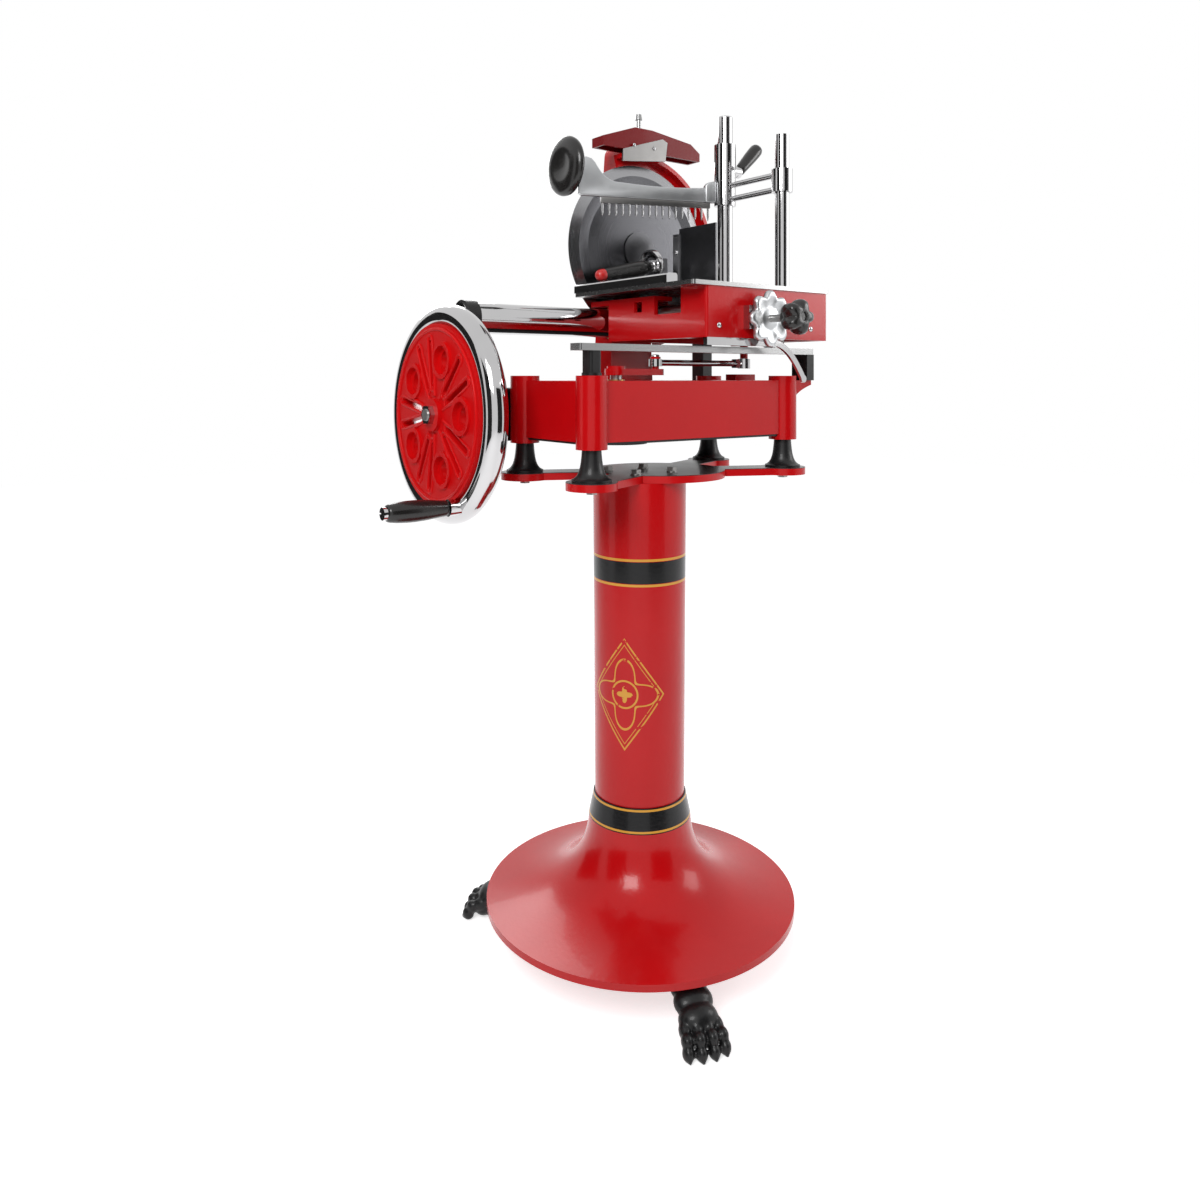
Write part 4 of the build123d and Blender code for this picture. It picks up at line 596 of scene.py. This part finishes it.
def screw(name, place, axis, radius, body, slotted=True):
    """A low round head, in millimetres, with a slot across it. The slot is a dark steel bar over the dome,
    painted shade for the groove.
    """
    head = turned(name, place, axis, [(radius, 0), (radius, radius * 0.35), (radius * 0.8, radius * 0.55),
                                      (0, radius * 0.62)], 50, segments=32)
    finished(head, chrome, body)
    if slotted:
        way = Vector(axis).normalized()
        half_slot = way.cross(Vector((0.31, 0.22, 0.92))).normalized() * radius * 0.92 / 1000
        bottom = Vector(place) + way * radius * 0.57 / 1000
        # the slot is not cut into the head: a dark steel bar stands for the groove, and its dark colour is
        # painted shade
        slot = bead(name + "_slot", [bottom - half_slot, bottom + half_slot], radius * 0.11 / 1000, False)
        finished(slot, dark_steel, body)


pin_x, pin_y, _ = joints["rod_swing"]["pos_m"]
crank_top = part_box("crank_arm")[1].z
screw("crank_pin_dome", (pin_x, pin_y, crank_top), (0, 0, 1), 7.5, "crank", slotted=False)

# ------------------------------------------------------------------ Knife arm, guard and deflector
# The hollow arm that carries the knife is a red iron casting with a screwed-on cover. A red guard goes
# round the edge of the knife, and a bent and chromed sheet throws the slices off.
base_enamel.on("knife_arm", "knife_arm_cover", "blade_guard")
chrome.on("slice_deflector")

# ------------------------------------------------------------------ Round knife
# A dished disc of dark steel, ground in rings, with a brighter bevel round its edge. It is screwed to the
# flange of a dark steel shaft.
dark_steel.on("blade_shaft")
blade_x, _, blade_z = joints["blade_spin"]["pos_m"]
bevel_start = 0.162
blade_steel = Finish("blade steel", Metallic=1.0)
blade_aside = blade_steel.along("X") - blade_x
blade_up = blade_steel.along("Z") - blade_z
blade_out = (blade_aside * blade_aside + blade_up * blade_up) ** 0.5
rings = blade_steel.node("ShaderNodeTexNoise", {"noise_dimensions": "1D"},
                         {"W": blade_out * 900.0, "Scale": 1.0, "Detail": 3.0})
bevel = blade_out > bevel_start
blade_steel.set(Base_Color=blade_steel.blend(bevel, (0.075, 0.075, 0.08, 1.0), (0.34, 0.34, 0.35, 1.0)),
                Roughness=rings * 0.16 + 0.16)
blade_steel.bump(rings, 0.0002, 0.25)
blade_steel.on("blade")

# ------------------------------------------------------------------ Sharpener
# Two round grey stones on a ground steel rod, below a dark red cast cover. A folded steel plate is held
# in front of the cover by two slotted screws.
cover_enamel = enamel("cover enamel", (0.20, 0.003, 0.005, 1.0), (0.12, 0.002, 0.003, 1.0), 0.3, 0.15)
cover_enamel.on("sharpener_housing")
plate_steel = metal("plate steel", (0.22, 0.215, 0.21, 1.0), 0.34, 0.14)
plate_steel.on("sharpener_plate")
ground_steel.on("sharpener_rod")
stone = Finish("stone", Roughness=0.95)
grit = stone.noise(900.0, 2.0)
stone.set(Base_Color=stone.blend(grit, (0.30, 0.27, 0.24, 1.0), (0.52, 0.48, 0.43, 1.0)))
stone.bump(grit, 0.0008, 0.6)
stone.on("sharpening_stones")

plate_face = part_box("sharpener_plate")[0].y
plate_screw_height = 1.540
for screw_x in (192, 248):
    place = (screw_x / 1000, plate_face, plate_screw_height)
    screw(f"plate_screw_{screw_x}", place, (0, -1, 0), 4.0, "pedestal")

# ------------------------------------------------------------------ Carriage
# A red box casting that slides on the tube with two bronze sleeves, and on the rail with a steel roller.
# A cast bracket below takes the rod's pull, and two bright slotted screws show on its front.
base_enamel.on("carriage_body", "drive_bracket")
bronze.on("carriage_bushes")
bolt_steel.on("rail_roller")
carriage_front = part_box("carriage_body")[0].y
front_screw_height = 1.134
for screw_name, screw_x in (("front_screw", 0.106), ("front_screw_right", 0.350)):
    screw(screw_name, (screw_x, carriage_front, front_screw_height), (0, -1, 0), 5.0, "carriage")

# ------------------------------------------------------------------ Front strip and stroke lever
# A chromed strip lies along the carriage's front edge and holds the index block. A bent and chromed lever
# hangs from a pin beside it.
chrome.on("carriage_strip", "stroke_lever")

# ------------------------------------------------------------------ Meat table
# A ground steel plate that slides across the carriage on two steel rods. A chromed cheek, a blackened
# fence on its bar, and the chromed stand of the table lever are screwed to it.
ground_steel.on("meat_table")
bolt_steel.on("table_rods")
dark_steel.on("side_fence")
chrome.on("table_cheek", "fence_bar", "lever_stand")

# ------------------------------------------------------------------ Table lever
# A long black plastic handle with a red tip, pressed onto a steel pin. At its root sits a turned and
# chromed disc that is hollowed like a dish.
lever_root = Vector(joints["table_lever_twist"]["pos_m"])
lever_way = joints["table_lever_twist"]["axis"]
red_plastic = Finish("red plastic", Coat_Weight=0.4, Coat_Roughness=0.08)
red_scuffs = red_plastic.noise(60.0, 4.0)
red_plastic.set(Base_Color=red_plastic.blend(red_scuffs, (0.66, 0.015, 0.012, 1.0), (0.5, 0.01, 0.01, 1.0)),
                Roughness=red_scuffs * 0.15 + 0.2)


def lever_piece(name, distance, profile, crease, finish):
    """A turned piece of the lever, which starts this many millimetres from the middle of its disc."""
    start = lever_root + Vector(lever_way) * distance / 1000
    finished(turned(name, start, lever_way, profile, crease), finish, "table_lever", "table_lever")


lever_piece("table_lever_disc", -6,
            [(0, 0), (34, 0), (36, 2), (36, 10), (35, 12), (32.5, 12), (30, 9), (22, 6.5), (15, 7), (14, 12),
             (12, 13), (0, 13)], 40, chrome)
lever_piece("table_lever_pin", -33.5, [(0, 0), (7, 0), (7, 30), (0, 30)], 35, chrome)
lever_piece("table_lever_handle", 6,
            [(0, 0), (11, 0), (13, 3), (15.4, 14), (16.8, 30), (16.6, 44), (15.2, 66), (13.8, 92),
             (12.6, 116), (12.0, 124), (0, 124)], 50, plastic)
lever_piece("table_lever_tip", 129.7,
            [(0, 0), (12, 0), (12.2, 3), (11.8, 10), (9.5, 16), (5, 19.4), (0, 20.2)],
            50, red_plastic)

# ------------------------------------------------------------------ Feed screw, wheel and knob
# A steel screw moves the table. On its end sit a scalloped hand wheel of sand-cast and tumbled aluminium
# and, in front of it, a black plastic knob with five lobes and a short shank.
bolt_steel.on("feed_screw")
feed_x, _, feed_z = joints["feed_turn"]["pos_m"]
cast_aluminium = metal("cast aluminium", (0.56, 0.57, 0.58, 1.0), 0.36, 0.14)
feed_wheel = turned(
    "feed_wheel_cast", (feed_x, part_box("feed_wheel")[0].y, feed_z), (0, 1, 0),
    [(0, 4), (16, 4), (18, 5), (24, 5.5, 0.1), (36, 2, 0.6), (44, 0.3, 1), (49, 0.8, 1), (51.6, 3.5, 1),
     (52, 7, 1), (51.4, 11, 1), (48, 13.6, 1), (36, 12.6, 0.6), (20, 12), (16, 14), (16, 27.3), (0, 27.3)],
    50, lobes=8, lobe_depth=0.2, segments=160)
finished(feed_wheel, cast_aluminium, "feed", "feed_wheel")
feed_knob = turned(
    "feed_knob_turned", (feed_x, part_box("feed_knob")[0].y, feed_z), (0, 1, 0),
    [(0, 3), (7, 3), (8, 0.6), (14, 0, 0.3), (23, 1.2, 0.7), (29, 4, 1), (32, 9, 1), (33, 16, 1),
     (32, 26, 1), (28, 33, 1), (20, 37, 0.6), (12, 38), (12, 48), (10.5, 49), (0, 49)],
    60, lobes=5, lobe_depth=0.34, segments=120)
finished(feed_knob, plastic, "feed", "feed_knob")

# ------------------------------------------------------------------ Posts, clamp and rods
# Two chromed steel posts stand on the table. A clamp slides on them and carries the gripper on two rods,
# all turned, polished and chromed.
chrome.on("guide_posts", "gripper_clamp", "gripper_rods")

# ------------------------------------------------------------------ Gripper arm
# A flat bar of sand-cast aluminium from the tall post to the hand knob. Its upper edge dips in the middle
# and sweeps up to the knob's round boss, and a thicker root is clamped to the rods.
knob_x, knob_y, knob_z = joints["gripper_knob_turn"]["pos_m"]
lock_x, lock_y, lock_z = joints["gripper_lock_turn"]["pos_m"]
tall_post = Vector((middle("guide_posts").x, lock_y, 0.0))
arm_turn = math.radians(20)
arm_way = Vector((-math.cos(arm_turn), math.sin(arm_turn), 0.0))
arm_side = Vector((math.sin(arm_turn), math.cos(arm_turn), 0.0))
upward = Vector((0.0, 0.0, 1.0))


def slab(name, outline, thickness, round_over=0.0015):
    """An upright plate on the arm's line, its outline (distance from the post, height) in millimetres."""
    form = bmesh.new()
    front, back = (
        [form.verts.new(tall_post + arm_way * along / 1000 + arm_side * side + upward * rise / 1000)
         for along, rise in outline] for side in (-thickness / 2000, thickness / 2000))
    form.faces.new(front)
    form.faces.new(list(reversed(back)))
    for step in range(len(outline)):
        after = (step + 1) % len(outline)
        form.faces.new((front[after], front[step], back[step], back[after]))
    bmesh.ops.recalc_face_normals(form, faces=form.faces)
    plate = piece_from(name, form)
    rounding = plate.modifiers.new("rounding", "BEVEL")
    rounding.width = round_over
    rounding.segments = 3
    rounding.limit_method = "ANGLE"
    return worked(plate)


arm_start, arm_end, arm_bottom = 20, 312, 1396
dip = [(arm_start + 9 * step, 1427 - 5 * math.sin(math.pi * step / 24)) for step in range(25)]
sweep = [(246, 1430), (256, 1436), (265, 1444), (272, 1454), (278, 1463), (285, 1470), (296, 1473),
         (306, 1470), (arm_end, 1462)]
lower_edge = [(arm_end, arm_bottom + 4), (arm_end - 6, arm_bottom), (arm_start, arm_bottom)]
arm_plate = slab("gripper_arm_plate", dip + sweep + lower_edge, 8)
knob_boss = turned("gripper_arm_boss", (knob_x + 0.0105, knob_y, knob_z), (1, 0, 0),
                   [(9, 0), (19, 0), (21, 2), (22, 6), (21, 20), (18, 24), (9, 24)], 40)
arm_root = slab("gripper_arm_root", [(22, 1395), (46, 1395), (46, 1429), (40, 1436), (22, 1440)], 14, 0.003)
for arm_piece in (creased(arm_plate, 40), knob_boss, creased(arm_root, 40)):
    finished(arm_piece, cast_aluminium, "gripper", "gripper_arm")

# ------------------------------------------------------------------ Comb
# A steel bar under the arm with seventeen bright pins that hold the meat. The pins are pressed in and
# ground to points.
bar_start, bar_end, bar_bottom = 34, 266, 1384
teeth, tooth_start, tooth_step = 17, 38, 14
comb_bar = slab("gripper_comb_bar", [(bar_start, bar_bottom), (bar_end, bar_bottom), (bar_end, arm_bottom),
                                     (bar_start, arm_bottom)], 6, 0.0008)
finished(creased(comb_bar), plate_steel, "gripper", "gripper_comb")
for tooth in range(teeth):
    along = tooth_start + tooth_step * tooth
    tooth_foot = tall_post + arm_way * along / 1000 + upward * (bar_bottom + 1) / 1000
    pin = turned(f"comb_pin_{tooth}", tooth_foot, (0, 0, -1), [(2.2, 0), (2.2, 17), (1.5, 23), (0, 28)],
                 60, segments=16)
    finished(pin, chrome, "gripper", "gripper_comb")

# ------------------------------------------------------------------ Hand knob of the gripper
# A broad knob of black plastic, pressed with a shallow hollow in its face. It turns on a chromed pin in
# the arm's boss.
hand_knob = turned(
    "gripper_knob_turned", (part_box("gripper_knob")[0].x, knob_y, knob_z), (1, 0, 0),
    [(0, 1.2), (24, 1.2), (27, 0), (40, 0.6), (50, 3.2), (55, 6.5), (57.4, 10), (58, 13), (57, 17),
     (53, 20), (30, 20), (17, 20), (16, 23.7), (0, 23.7)], 60)
finished(hand_knob, plastic, "gripper_knob", "gripper_knob")
knob_pin = turned("gripper_knob_pin", (knob_x + 0.0135, knob_y, knob_z), (1, 0, 0),
                  [(0, 0), (8, 0), (8, 20.5), (7, 21.5), (0, 21.5)])
finished(knob_pin, chrome, "gripper_knob", "gripper_knob")

# ------------------------------------------------------------------ Locking lever
# A turned and chromed hub on a threaded pin, which locks the clamp on its post. Its thick grip is black
# plastic with a dimple in the end.
lock_grip = turned(
    "gripper_lock_grip", (lock_x + 0.0063, lock_y, lock_z), (1, 0, 1),
    [(0, 4), (9.5, 4), (11, 6), (11.4, 14), (12.4, 30), (13.5, 48), (14, 64), (13.8, 75), (12, 80), (9, 82),
     (6.5, 81.4), (5.5, 79), (0, 78.5)], 50)
finished(lock_grip, plastic, "gripper_lock", "gripper_lock")
lock_hub = turned(
    "gripper_lock_hub", (lock_x - 0.0135, lock_y, lock_z), (1, 0, 0),
    [(0, 0), (5, 0), (5, 11.8), (11, 11.8), (12, 13), (12, 22), (10.5, 23.8), (0, 23.8)])
finished(lock_hub, chrome, "gripper_lock", "gripper_lock")
